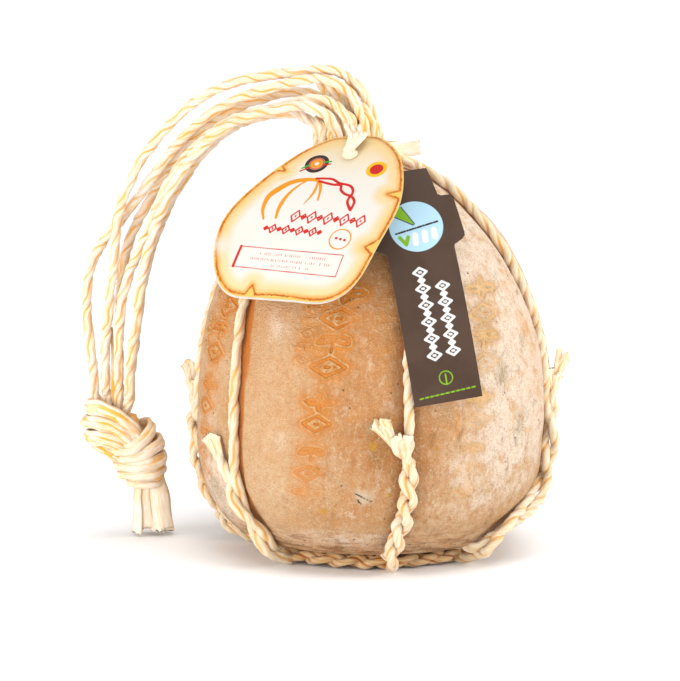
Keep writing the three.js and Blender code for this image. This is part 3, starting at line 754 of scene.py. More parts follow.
# ---- The rope ring under the base -------------------------------------------------------------
# Two thinner cords laid loosely round each other, in a ring just under the edge of the base. The
# side cords are looped through it.
RING_CORD, RING_TURNS, RING_SPACING = 2.3, 14, 9.0
RING_LIFT, SWING_OUT, SWING_UP = 0.35, 1.9, 1.5


def ring_cord(phase, seed):
    """A circle whose radius and height swing as a cosine and a sine, a few times round."""
    turn = np.linspace(0.02, 2 * np.pi - 0.02, 900)
    swing = RING_TURNS * turn + phase
    radius = RING_RADIUS + SWING_OUT * np.cos(swing) + wander(turn * 20, 0.25, seed)
    path = outward(180 + np.degrees(turn)) * radius[:, None]
    path[:, 2] = RING_HEIGHT + RING_LIFT + SWING_UP * np.sin(swing)
    return cord_surface(evenly(path), RING_CORD, seed, RING_SPACING)


# The ring's raffia is a darker copy, with browner colours and more light taken off: painted shade where it
# lies under the belly.
raffia_ring_shaded = raffia("raffia_ring_shaded", (250, 216, 164), (238, 186, 118), (220, 144, 66), (186, 102, 28), 1.5)
ring = tubes("base_rope", [ring_cord(0.0, 81), ring_cord(math.pi, 83)], raffia_ring_shaded)
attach(ring, "root")
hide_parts("base_ring")


# ---- The cheese -------------------------------------------------------------------------------
# One solid piece of matured stretched curd. Its rind is dry and satiny, peach to tan, bloomed with
# pale and grey mould, deep orange where cords lay before, with raised stamped figures down each
# lobe. The stamped bands and the small crack low in front get a closer mesh than the rest.
LOBE_BANDS = [(-17.0, 12.5, 0.43), (-67.5, 12.0, 0.46), (35.0, 12.0, 0.46),
              (107.0, 11.5, 0.8), (174.0, 11.5, 0.8), (238.5, 11.5, 0.8)]
CRACK_BAND = (-4.0, 6.5, 0.5)
COARSE_TURN, COARSE_STEP, FINE_STEP = 1.62, 2.1, 0.7
STAMPED_FROM, STAMPED_TO = 36, 142
SEAT, SEAT_TOP = 4.7, 9.6


def paced(low, high, coarse, windows):
    """Values from low to high whose steps shrink from coarse to each window's own step. A window
    is its middle, its half-width and its step."""
    fine = np.linspace(low, high, 8000)
    pace = np.full(fine.shape, 1 / coarse)
    for middle, half, step in windows:
        inside = eased((half + 1.5 - np.abs((fine - middle + 180) % 360 - 180)) / 1.5)
        pace = np.maximum(pace, inside / step)
    total = np.r_[0, np.cumsum((pace[1:] + pace[:-1]) / 2 * np.diff(fine))]
    return np.interp(np.linspace(0, total[-1], int(round(total[-1])) + 1), total, fine)


def lumps(places, size, seed):
    """Smooth random heights about zero: eased steps between the corners of a grid of seeded
    random numbers, one corner every size mm."""
    table = np.random.default_rng(seed).uniform(-1, 1, (32, 32, 32))
    scaled = places / size
    corner = np.floor(scaled).astype(int)
    share = eased(scaled - corner)
    total = 0
    for step in np.ndindex(2, 2, 2):
        weight = np.prod(np.where(np.array(step) == 1, share, 1 - share), axis=-1)
        total = total + weight * table[tuple(np.moveaxis((corner + step) % 32, -1, 0))]
    return total


def closest(across, along, line, wide=0.0):
    """Distance from each place to the edge of a stroke through points: the least over its
    straight parts, less the stroke's half-width there. Negative inside the stroke."""
    line = np.asarray(line, float)
    wide = np.broadcast_to(np.asarray(wide, float), len(line))
    step = line[1:] - line[:-1]
    away = np.stack([across, along], axis=-1)[..., None, :] - line[:-1]
    share = np.clip((away * step).sum(-1) / np.maximum((step * step).sum(-1), 1e-12), 0, 1)
    half = wide[:-1] + share * (wide[1:] - wide[:-1])
    return (np.linalg.norm(away - share[..., None] * step, axis=-1) - half).min(-1)


def petal(reach, wide, tilt, middle):
    """Outline of a pointed petal: two parabolas between its tips."""
    u = np.linspace(-1, 1, 7)
    side = np.stack([reach * u, wide * (1 - u ** 2)], axis=1)
    turn = np.array([[math.cos(tilt), math.sin(tilt)], [-math.sin(tilt), math.cos(tilt)]])
    return np.vstack([side, -side]) @ turn + middle


# Plain stamped ornaments, each as strokes in a square from -1 to 1. The tilt of an upright petal
# is a quarter turn.
UPRIGHT = 1.571
FIGURES = {
    "lozenge": [[(-1, 0), (0, 1), (1, 0), (0, -1), (-1, 0)], [(-0.12, 0), (0.12, 0)]],
    "flower": [petal(0.5, 0.3, 0.0, (-0.5, 0)), petal(0.5, 0.3, 0.0, (0.5, 0)),
               petal(0.5, 0.16, UPRIGHT, (0, 0.5)), petal(0.5, 0.16, UPRIGHT, (0, -0.5))],
    "leaves": [petal(0.55, 0.3, 0.75, (-0.45, 0.35)), petal(0.55, 0.3, -0.75, (0.45, 0.35)),
               [(0, -0.9), (0, 0.5)]],
    "dots": [[(x, 0), (x + 0.04, 0)] for x in (-0.8, 0, 0.8)],
    "dot": [[(-0.3, 0), (0.3, 0)]],
    "diamond": [[(-0.45, 0), (0, 0.55), (0.45, 0), (0, -0.55), (-0.45, 0)], [(0, 0.3), (0, -0.3)]],
}
# Each stamp: figure, distance from the band's middle, height, half sizes across and along.
STAMPS = [("flower", 0, 138, 9.4, 4.6), ("lozenge", 0, 126.5, 9.2, 4.5), ("leaves", 0, 115, 9.0, 4.3),
          ("lozenge", 0, 104, 8.8, 4.4), ("flower", 0, 87.5, 7.4, 4.0), ("lozenge", 0, 77, 7.0, 3.8),
          ("dot", 0, 69.8, 1.5, 1.0), ("leaves", 0, 62.5, 7.0, 3.4), ("lozenge", 0, 53.0, 7.0, 3.4),
          ("flower", 0, 43.5, 6.8, 3.6), ("leaves", -13.6, 131, 3.8, 1.9), ("dots", -13.4, 125, 3.6, 1.2),
          ("lozenge", -13.4, 119, 3.6, 2.1), ("leaves", -13.2, 112.5, 3.4, 1.8),
          ("lozenge", -13.0, 106.5, 3.2, 1.8)]
STAMP_SLANT, SLANT_MIDDLE = 0.18, 88
WIDE_STROKE, THIN_STROKE, SMALL_STAMP = 1.25, 0.6, 4
STAMP_EDGE = 0.6


def rind_profile():
    """Distance from the middle and height, from the base's middle to the crown: the flat face,
    the seat over the rope ring, and the body's curve at an even pace, closer where it is stamped."""
    turn = np.radians([195, 175, 155, 135, 115, 95, 78, 62])
    seat = np.stack([RING_RADIUS + SEAT * np.cos(turn), RING_HEIGHT + SEAT * np.sin(turn)], axis=1)
    flat = np.stack([[3, 14, 27, 38, 46, 50.8], [0] * 6], axis=1)
    share = np.linspace(SEAT_TOP, CROWN, 40000) / CROWN
    height = CROWN - (CROWN - SEAT_TOP) * (1 - share) ** 2 / (1 - SEAT_TOP / CROWN) ** 2
    radius = body_radius(height)
    run = np.r_[0, np.cumsum(np.hypot(np.diff(radius), np.diff(height)))]
    start, end = np.interp([STAMPED_FROM, STAMPED_TO], height, run)
    at = paced(0, run[-1], COARSE_STEP, [((start + end) / 2, (end - start) / 2, FINE_STEP)])[:-1]
    return np.vstack([flat, seat, np.stack([np.interp(at, run, radius), np.interp(at, run, height)], axis=1)])


profile = rind_profile()
bearings = paced(-180, 180, COARSE_TURN, [*LOBE_BANDS, CRACK_BAND])[:-1]
heights = np.broadcast_to(profile[:, 1:], (len(profile), len(bearings)))
radii = np.broadcast_to(profile[:, :1], heights.shape)


def around(bearing):
    """Distance round the rind from a bearing, in mm, positive to the right."""
    return np.radians((bearings - bearing + 180) % 360 - 180) * radii


from_cords = [around(cord_bearing(cord, heights)) for cord in SIDE_CORDS]
nearest = np.min(np.abs(from_cords), axis=0)
steps = np.gradient(profile, axis=0)
lean, rise = (steps / np.maximum(np.linalg.norm(steps, axis=1, keepdims=True), 1e-6)).T[..., None, None]
normal = outward(bearings) * rise - np.array([0, 0, 1]) * lean
rind_points = outward(bearings) * (radii - bite(nearest, heights))[..., None]
rind_points[..., 2] += heights
above = eased((heights - 12) / 10)

edge = np.full(heights.shape, 3.0)
for middle, _, _ in LOBE_BANDS:
    across = around(middle) - STAMP_SLANT * (heights - SLANT_MIDDLE)
    for figure, aside, height, half_across, half_along in STAMPS:
        near = (np.abs(across - aside) < half_across + 4) & (np.abs(heights - height) < half_along + 4)
        stroke = THIN_STROKE if half_across < SMALL_STAMP else WIDE_STROKE
        away = np.min([closest(across[near] - aside, heights[near] - height,
                               np.asarray(line) * [half_across, half_along])
                       for line in FIGURES[figure]], axis=0)
        edge[near] = np.minimum(edge[near], away - stroke)
edge = edge + lumps(rind_points, 2.6, 12) * 0.22
# The stamps are worn away in places, and more so low down.
worn = 0.45 + 0.55 * eased(0.6 + lumps(rind_points, 9.0, 5) * 1.4)
worn = worn * (0.35 + 0.65 * eased((heights - 40) / 60))
relief = np.exp(-(edge / STAMP_EDGE) ** 2) * worn
stamped = eased(-edge / STAMP_EDGE) * worn

# The print of a cord that lay beside the front left one before: deep orange and sunk.
old_wide = np.interp(heights, [24, 34, 49, 62, 76, 100, 150], [3.6, 3.6, 2.4, 3.0, 5.4, 7.0, 7.5])
old_wide = old_wide + lumps(rind_points, 9, 8) * 0.9
old_length = eased((heights - 20) / 14) * eased((158 - heights) / 12)
hollow = eased((from_cords[0] - 0.6) / 1.6) * eased((2.9 + old_wide - from_cords[0]) / 2.2) * old_length

CRACK_BEARING, CRACK_HEIGHT, CRACK_REACH = -2.5, 40.5, 9
CRACK_LINES = [[(-5.6, 2.9), (-3.7, 1.9), (-1.4, 0.6), (0.9, -0.5), (3.4, -1.3), (4.6, -1.0)],
               [(-4.4, -0.2), (-4.0, -1.3), (-2.9, -2.2)]]
across, along = around(CRACK_BEARING), heights - CRACK_HEIGHT
from_crack = np.hypot(across, along)
local = from_crack < CRACK_REACH
crack_away = np.full(heights.shape, float(CRACK_REACH))
crack_away[local] = np.min([closest(across[local], along[local], line) for line in CRACK_LINES], axis=0)
crack = eased(1 - crack_away / (0.5 + 0.3 * eased(-across / 4)))

# The skin is smooth to the right of the front left cord and rougher elsewhere. It stands out by
# lumps of four sizes, swells beside the grooves, and follows the stamps, the old print and the crack.
rough_skin = 1 - 0.75 * eased((bearings + 72) / 14) * eased((-14 - bearings) / 10)
push = above * (lumps(rind_points, 46, 1) * 1.3 + lumps(rind_points, 19, 2) * 0.5
                + lumps(rind_points, 7.5, 3) * (0.1 + 0.2 * rough_skin)
                + lumps(rind_points, 3.4, 4) * (0.04 + 0.1 * rough_skin))
push = push * eased((nearest - 2) / 9) + 0.5 * np.exp(-((nearest - 8) / 4) ** 2) * above
push = push + 0.85 * relief - 0.35 * stamped - 0.5 * hollow
push = push - 0.9 * crack - 0.8 * np.exp(-(from_crack / 6) ** 2)
rind_points = rind_points + normal * push[..., None]


def patches(*rows, more=0.0):
    """Soft patches added up and kept from 0 to 1. A patch is its strength, bearing, height and
    half sizes across and along, and falls as a bell from its middle."""
    for strength, bearing, height, half_across, half_along in rows:
        bell = (around(bearing) / half_across) ** 2 + ((heights - height) / half_along) ** 2
        more = more + strength * np.exp(-bell)
    return np.clip(more, 0, 1)


fields = {
    # tan: the rind's own tan patches, plus a darkening laid on towards the base below 22 mm, which is painted
    # shade there.
    "tan": patches((1.1, -2, 122, 24, 30), (1, -3, 86, 24, 26), (0.9, 5, 58, 22, 18), (0.5, -8, 34, 30, 9),
                   (0.5, 17, 76, 10, 20), (0.7, 115, 90, 40, 50), (0.7, 200, 80, 40, 50),
                   more=0.4 * eased((22 - heights) / 14)),
    "pale": patches((1.5, 62, 130, 34, 54), (1.1, 40, 118, 20, 44), (0.35, 34, 56, 20, 26),
                    (0.25, -32, 58, 12, 40), (0.45, -8, 19, 34, 6), (0.45, 56, 62, 22, 26),
                    (0.15, 28, 42, 20, 14), (0.3, -66, 92, 12, 40), (0.95, -66, 38, 17, 20),
                    (0.35, -34, 122, 10, 16), (0.3, 4, 85, 6, 6), (0.25, -16, 62, 10, 12),
                    (0.6, 160, 120, 40, 50), (0.6, 250, 60, 30, 40), more=0.9 * eased((heights - 150) / 30)),
    "orange": patches((0.7, -14, 118, 13, 24), (0.5, -19, 84, 9, 14), (0.85, -67, 104, 9, 34),
                      (0.5, -72, 74, 7, 16), (0.75, 27, 76, 9, 15), (0.6, 40, 124, 8, 14),
                      (0.45, 47, 54, 5, 12), (0.4, 3, 118, 6, 30), (0.5, -56, 86, 4, 20),
                      (0.5, 120, 60, 12, 14), (0.5, 200, 110, 12, 14)),
    "olive": patches((0.95, 2, 62, 11, 15), (0.5, 3, 80, 6, 9), (0.5, -30, 37, 5, 6), (0.5, 17, 72, 6, 12),
                     (0.35, -5, 118, 4, 16), (0.6, 150, 70, 12, 22), (0.6, 225, 60, 12, 20)),
    "dust": patches((0.8, -1, 76, 5, 4), (0.5, -11, 48, 4, 3), (0.3, -7, 42, 8, 6), (0.55, 44, 97, 3.5, 11),
                    (0.35, 51, 70, 8, 11), (0.6, 40, 109, 4, 3), (0.6, 24, 80, 5, 8), (0.75, -66, 34, 14, 12),
                    (0.5, -7, 117, 3, 9), (0.5, -28, 32, 12, 5), (0.25, -4, 40, 16, 6),
                    (0.22, 50, 84, 24, 44), (0.3, 12, 88, 16, 24), (0.6, 130, 80, 14, 20),
                    (0.6, 215, 80, 14, 20),
                    more=0.25 * eased((24 - heights) / 12)),
    "yellow": patches((1, -0.6, 67, 2.6, 3.2), (1, 4.1, 43, 1.6, 1.8), (1, 19.5, 65, 1.6, 1.4),
                      (0.8, -17, 34, 4, 3), (1, 2.5, 73, 1.4, 2)),
    "crack_rim": patches((0.9, -3.6, 41.5, 6, 5)),
    "clear": 1 - 0.65 * eased((bearings - 20) / 6) * eased((60 - bearings) / 6),
    # Beside each cord: partly an orange stain where the cord presses, partly painted shade in its groove.
    "cord_stain_and_shade": np.exp(-(nearest / 4.5) ** 2) * above,
    "foot": eased((30 - heights) / 20),
    "edge": edge, "worn": worn, "hollow": hollow, "crack": crack, "rough_skin": rough_skin,
}
rows, columns = heights.shape
base_point, crown_point = rows * columns, rows * columns + 1
rind_faces = [face[::-1] for face in tube_faces(rows, columns)[:-2]]
rind_faces += [[base_point, (c + 1) % columns, c] for c in range(columns)]
top_row = base_point - columns
rind_faces += [[crown_point, top_row + c, top_row + (c + 1) % columns] for c in range(columns)]
all_points = np.vstack([rind_points.reshape(-1, 3), [[0, 0, 0], [0, 0, CROWN]]])

# "on" holds what each field says at a spot of the rind; the noises run from coarse to fine.
rind = Finish("cheese_rind")
on = {name: rind.field(name) for name in fields}
place = rind.place()
broad = rind.noise(place, 26, 3, 0.5)
cloud = rind.noise(place, 62, 4, 0.6, 0.4)
mottle = rind.noise(place, 95, 5, 0.62, 0.5)
smudge = rind.noise(rind.stretched(place, 1, 1, 0.5), 150, 4, 0.66, 0.5)
blotch = rind.noise(rind.stretched(place, 1, 1, 0.6), 190, 4, 0.65, 0.8)
patchy = rind.noise(rind.stretched(place, 1, 1, 0.8), 230, 5, 0.7, 0.15)
fibre = rind.noise(rind.stretched(place, 1, 1, 0.75), 430, 4, 0.62, 0.7)
ripple = rind.noise(rind.stretched(place, 0.16, 0.16, 1), 520, 3, 0.6)
wrinkle = rind.noise(rind.stretched(place, 0.4, 0.4, 1), 760, 3, 0.55, 0.6)
grain = rind.noise(place, 1350, 3, 0.6)
dots = rind.node("ShaderNodeTexVoronoi", inputs={"Vector": place, "Scale": 223.0, "Randomness": 1.0},
                 output="Distance")
dotted = rind.noise(place, 60, 2) + on["foot"] * 0.22 + on["rough_skin"] * 0.04 + on["dust"] * 0.12
weave = fibre * 0.7 + blotch * 0.3
speckle = on["rough_skin"] * (1 - on["pale"] * 0.6)
contrast = (on["rough_skin"] * 0.42 + 0.24) * (1 - on["pale"] * 0.55)
dusty = (on["dust"] + (blotch - 0.5) * 1.9 + (cloud - 0.5) * 1.2).between(0.32, 0.85)
inside = on["edge"].between(-0.05, -0.4) * on["worn"]
# The deepest line inside each stroke, painted deep orange as shade beside the raised edge.
deepest_shade = on["edge"].between(-0.1, -0.35) * on["edge"].between(-1.0, -0.7) * on["worn"]
# Beside each stroke: partly the rind's orange round the stamps, partly a painted soft shadow outside the
# raised edge.
beside = on["edge"].between(4.2, 0.2) * on["worn"]
# The raised edge of each stroke, painted pale as a highlight.
ridge_and_highlight = ((on["edge"] * on["edge"]).between(0.3, 0.03) * on["worn"]
         * (fibre * 0.5 + blotch * 0.5).between(0.36, 0.6))
rind_colour = rind.layered(
    (228, 176, 120),
    ((237, 195, 147), broad.between(0.38, 0.66)),
    ((216, 157, 99), (on["tan"] + (mottle - 0.5) * 1.1).between(0.2, 0.85) * 0.9),
    ((243, 164, 72), (on["orange"] + (mottle - 0.5) * 2.0 + (blotch - 0.5) * 1.4).between(0.25, 0.95) * 0.9),
    ((255, 237, 214, 1.34), (on["pale"] + (cloud - 0.5) * 2.0 + (patchy - 0.5) * 0.9).between(-0.05, 0.92)
     * on["pale"].between(0.05, 0.4)),
    ((252, 204, 142), on["pale"] * (cloud * 0.6 + patchy * 0.4).between(0.5, 0.36) * 0.75),
    ((182, 122, 46), (on["olive"] + (mottle - 0.5) * 1.2 + (blotch - 0.5) * 0.8).between(0.3, 1.1) * 0.9),
    ((248, 206, 166), speckle * (patchy * 0.55 + cloud * 0.45).between(0.5, 0.68) * 0.65),
    ((222, 142, 70), speckle * (patchy * 0.55 + mottle * 0.45).between(0.52, 0.36) * 0.55),
    ((204, 128, 60), weave.between(0.5, 0.34) * contrast),
    ((255, 236, 206), weave.between(0.52, 0.68) * contrast),
    ((204, 132, 68), grain.between(0.5, 0.32) * 0.5),
    ((255, 232, 200), grain.between(0.52, 0.7) * 0.42),
    ((146, 106, 60), (smudge * 0.75 + grain * 0.25).between(0.545, 0.68) * on["rough_skin"] * 0.6),
    ((150, 102, 62), on["foot"] * ripple.between(0.56, 0.36) * 0.8),
    ((240, 208, 170), on["foot"] * ripple.between(0.5, 0.68) * 0.7),
    ((232, 172, 60), (on["yellow"] + (grain - 0.5)).between(0.35, 0.8) * 0.8),
    ((160, 132, 88), dusty * grain.between(0.6, 0.36) * 0.75),
    ((214, 188, 146), dusty * 0.4),
    # Orange round the stamps: partly their own colour, partly painted soft shadow.
    ((242, 146, 40), beside * on["clear"] * 0.85),
    ((248, 162, 66), inside * on["clear"] * 0.85),
    # Painted shade deep inside the stamp strokes.
    ((232, 124, 20), deepest_shade * on["clear"] * (fibre + 0.2).between(0.4, 0.75) * 0.85),
    ((254, 214, 150, 1.36), inside * (1 - on["clear"]) * 0.9),
    # Painted highlight on the stamps' raised edges.
    ((255, 222, 164), ridge_and_highlight * 0.8),
    ((232, 130, 34), (on["hollow"] + (mottle - 0.5) * 0.9 + (fibre - 0.5) * 0.8).between(0.15, 0.95) * 0.9),
    # Orange beside the cords: partly stain, partly painted shade in the grooves.
    ((240, 142, 52), (on["cord_stain_and_shade"] + (mottle - 0.5) * 0.8).between(0.35, 1.1) * 0.7),
    ((122, 82, 46), dots.between(0.18, 0.08) * dotted.between(0.57, 0.68) * 0.85),
    ((244, 222, 190), (on["crack_rim"] + (blotch - 0.5)).between(0.25, 0.9) * 0.8),
    ((60, 42, 28), on["crack"].between(0.35, 0.9)))
rind_relief = (grain + wrinkle * 1.1 + fibre * 0.9 * (on["rough_skin"] * 0.7 + 0.3)
               + patchy * on["rough_skin"] * 1.2 + blotch * 0.5 + ridge_and_highlight * 0.3 - inside * 0.4
               + on["foot"] * ripple * 1.3)
rind_finish = rind.finished(rind_colour, 0.5 + (grain - 0.5) * 0.3 + on["pale"] * 0.1, rind_relief, 0.0009,
                            Specular_IOR_Level=0.3)
cheese = piece("cheese_body", all_points, rind_faces, rind_finish,
               {name: np.r_[np.broadcast_to(values, heights.shape).ravel(), 0, 0]
                for name, values in fields.items()})
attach(cheese, "root")
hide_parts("cheese")


# ---- The parchment tag ------------------------------------------------------------------------
# A folded card of two leaves, cut round and printed to look scorched along its edge, tied on by
# its top. The print is plain ornament: arches, a plait, rows of figures, a framed note and seals.
PARCHMENT = {"face": -26.4, "reach": 36.0, "height": 200.5, "tilt": 54.0, "ease": -0.3, "roll": 0.0,
             "shift": 0.0}
PARCHMENT_RIM = [(-0.5, -12), (17.5, -11.5), (34, 4), (43, 30), (39.5, 56), (33, 77), (19, 86.5),
                 (-6, 86), (-32, 85), (-44.5, 67), (-45, 42.5), (-27.5, 11), (-13, -6.5)]
TEARS = [((-24.3, 14.9), (-31.4, 14.6), (-28.6, 9.8)), ((35.1, 26.6), (43.4, 23.6), (44.2, 30.0)),
         ((33.1, 57.5), (38.8, 53.4), (38.4, 61.8)), ((-19.7, 80.8), (-23.4, 87), (-16.2, 87))]
SEAL, EMBLEM, ROUND_MARK = (23.7, 11.2), (-9.0, 9.2), (19.1, 53.9)
BOX = [(-31.4, 60.6), (23.4, 62.4), (22.3, 73.8), (-32.8, 71.5)]
NOTE_ROWS = [(63.6, -20.0, 14.5), (66.6, -24.5, 18.0), (69.5, -12.5, 8.0)]
INK_EDGE = 0.16


def on_card(card, across, down, out):
    """Place of a spot on a bent card. The card starts at its tilt from level and turns by ease
    degrees for each mm along it, so its line is an arc: minus the cosine forward and the sine down."""
    face, roll, start, bend = (math.radians(card[key]) for key in ("face", "roll", "tilt", "ease"))
    side = across * math.cos(roll) + down * math.sin(roll) + card["shift"]
    along = down * math.cos(roll) - across * math.sin(roll)
    here = start + bend * along
    forward = card["reach"] + (math.cos(start) - np.cos(here)) / bend + out * np.cos(here)
    height = card["height"] - (np.sin(here) - math.sin(start)) / bend + out * np.sin(here)
    place = (side[..., None] * np.array([math.cos(face), math.sin(face), 0])
             + forward[..., None] * np.array([math.sin(face), -math.cos(face), 0]))
    place[..., 2] = height
    return place


def card_leaf(name, card, low, high, finish, fields):
    """A closed thin leaf over the grid of card places across and down: the printed side at high,
    the back at low, and a wall round the edge. The fields are the printed side's, 0 on the back."""
    rows, columns = across.shape
    points = np.vstack([on_card(card, across, down, out).reshape(-1, 3) for out in (high, low)])
    grid = np.arange(rows * columns).reshape(rows, columns)
    front = np.stack([grid[:-1, :-1], grid[1:, :-1], grid[1:, 1:], grid[:-1, 1:]], axis=-1).reshape(-1, 4)
    loop = np.concatenate([grid[:-1, 0], grid[-1, :-1], grid[:0:-1, -1], grid[0, :0:-1]])
    after = np.roll(loop, -1)
    wall = np.stack([after, loop, loop + grid.size, after + grid.size], axis=-1)
    faces = np.vstack([front, front[:, ::-1] + grid.size, wall]).tolist()
    both_sides = {key: np.r_[values.ravel(), np.zeros(grid.size)] for key, values in fields.items()}
    return piece(name, points, faces, finish, both_sides, sharp=40)


def smooth_line(points, step=1.2):
    """The smooth curve through places on a card, each across and down."""
    return through([(x, y, 0) for x, y in points], step)[:, :2]


def outline_grid(rim, step):
    """Rows across the inside of an outline, with the left and right end of each row on it."""
    line = smooth_line([*rim[-2:], *rim, *rim[:3]], 0.4)
    away, middle = np.linalg.norm(line - rim[0], axis=1), len(line) // 2
    line = line[int(np.argmin(away[:middle])):middle + int(np.argmin(away[middle:]))]
    top, bottom = int(np.argmin(line[:, 1])), int(np.argmax(line[:, 1]))
    from_top, half_way = np.roll(line, -top, axis=0), (bottom - top) % len(line)
    low, high = line[top, 1] + 0.03, line[bottom, 1] - 0.03
    down = paced(low, high, step, [(low, 1.5, 0.12), (high, 1.5, 0.12)])
    left, right = (np.interp(down, np.maximum.accumulate(chain[:, 1]), chain[:, 0])[:, None]
                   for chain in (from_top[half_way:][::-1], from_top[:half_way + 1]))
    share = np.linspace(0, 1, int(np.ptp(line[:, 0]) / step))
    return left * (1 - share) + right * share, down[:, None] + 0 * share, line


def ink(strokes, wide):
    """Distance to the edge of the nearest stroke on the card in hand, negative on the ink."""
    return np.min([closest(across, down, line, wide) for line in strokes], axis=0)


def round_line(middle, radius, half_width):
    """Distance to the edge of a round line on the card in hand; with radius 0 it is a disc."""
    return np.abs(np.hypot(across - middle[0], down - middle[1]) - radius) - half_width


def row_of(first, second, count, start, step, half, lying=True, slant=0.0):
    """Strokes for a row of two ornaments by turns, each one step from the last. Half is their half
    size across and down the card; lying ones are on their side."""
    strokes = []
    for index in range(count):
        for line in FIGURES[second if index % 2 else first]:
            stroke = np.array(line, float)[:, ::-1 if lying else 1] * half
            stroke[:, 0] -= slant * stroke[:, 1]
            strokes.append(stroke + start + np.multiply(step, index))
    return strokes


def inked(finish, colour, inks, plain):
    """Lays each ink where its field is below 0, and leaves the card plain where it isn't printed."""
    for name, paint in inks.items():
        colour = finish.mixed(colour, shade(*paint), finish.field(name).between(INK_EDGE, -INK_EDGE))
    return finish.mixed(shade(*plain), colour, finish.field("printed"))


across, down, rim_line = outline_grid(PARCHMENT_RIM, 0.5)
edge = closest(across, down, rim_line[::2])
for tip, one, two in TEARS:
    away = np.stack([across, down], axis=-1) - tip
    one_side, other_side = (away[..., 0] * (end[1] - tip[1]) - away[..., 1] * (end[0] - tip[0])
                            for end in (one, two))
    torn = (one_side * other_side < 0) & (away @ (np.add(one, two) / 2 - tip) > 0)
    away = closest(across, down, [one, tip, two])
    edge = np.minimum(edge, 1.1 + np.where(torn, -away, away))

chance = np.random.default_rng(21)
note = []
for line_down, mark, last in NOTE_ROWS:
    while mark < last:
        if chance.random() > 0.2:
            tall = 0.45 + 0.25 * chance.random()
            middle = line_down + (mark + 30) * 0.032
            note.append([(mark, middle - tall), (mark - 0.1, middle + tall)])
        mark += 0.95 + 0.35 * chance.random()
title = row_of("lozenge", "diamond", 9, (-8.2, 42.4), (4.35, 0.1218), (2.3, 3.4), slant=0.25)
title += row_of("diamond", "lozenge", 9, (-21.6, 50.0), (3.6, 0.108), (1.9, 2.4), slant=0.25)
plait = [smooth_line([(-5.3, 19.0), (-1.0, 18.8), (3.3, 19.0), (7.8, 21.3), (14.0, 22.7), (16.8, 26.5),
                      (15.8, 31.9), (17.9, 35.8), (19.2, 37.4)]),
         smooth_line([(-3.2, 20.7), (4.6, 22.4), (9.0, 22.6), (10.0, 25.5), (13.0, 27.9), (17.1, 29.3),
                      (19.6, 32.5), (19.2, 37.4)])]
red = np.minimum.reduce([
    ink(title, 0.42), ink(plait, 0.72), ink(note, 0.2), ink([BOX], 0.27), ink([[BOX[3], BOX[0]]], 0.7),
    round_line(SEAL, 0, 3.4), round_line(EMBLEM, 3.6, 0.35),
    ink([[(-15.9, 14.6), (-12.2, 12.2)], [(-5.4, 10.0), (-1.8, 9.0)]], 0.5),
    ink([[(16.9, 53.5), (17.0, 53.5)], [(19.2, 53.9), (19.3, 53.9)], [(21.5, 54.3), (21.6, 54.3)]], 0.75)])
arches = [([(-24.6, 45.0), (-26.9, 39.2), (-26.6, 31.8), (-22.7, 26.5), (-17.8, 22.3), (-12.0, 20.3),
            (-5.7, 19.9), (-2.2, 22.3), (-0.6, 26.6), (0.2, 32.4)], (0.5, 1.75, 0.5)),
          ([(-18.3, 43.9), (-18.6, 37.9), (-16.9, 30.4), (-13.4, 24.3), (-9.5, 20.6)], (0.7, 1.1, 0.4)),
          ([(-3.8, 21.2), (-3.4, 26.4), (-4.6, 31.3), (-6.4, 35.1)], (0.4, 0.8, 0.3))]
orange = [round_line(ROUND_MARK, 5.4, 0.36), round_line(EMBLEM, 2.2, 1.0)]
for places, widths in arches:
    line = smooth_line(places)
    orange.append(closest(across, down, line, np.interp(np.linspace(0, 1, len(line)), [0, 0.35, 1], widths)))
fields = {
    "edge": edge, "red_ink": red, "orange_ink": np.minimum.reduce(orange),
    "gold_ink": round_line(SEAL, 4.1, 1.2), "dark_ink": round_line(EMBLEM, 5.1, 1.05),
    "green_ink": ink([[(-15.6, 12.6), (-12.4, 10.4)], [(-5.6, 8.0), (-2.0, 7.2)]], 0.55),
    "crease": np.exp(-(((across + 41.5) / 5.5) ** 2 + ((down - 60.5) / 4.5) ** 2)),
    "warm_top": np.exp(-(((across - 8) / 26) ** 2 + ((down + 6) / 17) ** 2)),
    "printed": np.ones(across.shape),
}

parchment = Finish("scorched_parchment")
place = parchment.place()
soft = parchment.noise(place, 38, 3, 0.5)
spread = parchment.noise(place, 240, 3, 0.6)
ragged = parchment.noise(place, 900, 3, 0.6)
inwards = parchment.field("edge") + (ragged - 0.5) * 1.5 + (spread - 0.5) * 1.2
scorch = (1 - (inwards - 1.25).size().between(0.18, 0.85)) * (0.55 + spread.between(0.35, 0.6) * 0.45)
colour = parchment.layered(
    (252, 202, 106),
    ((246, 241, 232), inwards.between(1.2, 11.5) + (soft - 0.5) * 0.3),
    ((251, 226, 172), inwards.between(10, 3.2) * (soft.between(0.3, 0.6) * 0.5 + 0.25)),
    ((246, 166, 62), inwards.between(4.4, 1.2) * (0.45 + soft.between(0.35, 0.6) * 0.5)),
    ((255, 204, 104), inwards.between(1.25, 0.75)),
    ((253, 220, 152), parchment.field("warm_top") * 0.75),
    ((196, 96, 16), scorch),
    ((254, 232, 218), parchment.field("crease") * 0.9))
colour = inked(parchment, colour, {"orange_ink": (246, 158, 22), "gold_ink": (250, 196, 30),
                                   "dark_ink": (62, 44, 34), "red_ink": (216, 36, 34),
                                   "green_ink": (70, 176, 60)}, (248, 244, 236))
parchment_finish = parchment.finished(colour, 0.45 + (spread - 0.5) * 0.15, spread, 0.00005,
                                      Specular_IOR_Level=0.2)
front_leaf = card_leaf("parchment_front", PARCHMENT, 0.75, 1.2, parchment_finish, fields)
across, down, _ = outline_grid([(x * 0.995 - 0.7, y * 0.992 + 1.3) for x, y in PARCHMENT_RIM], 1.4)
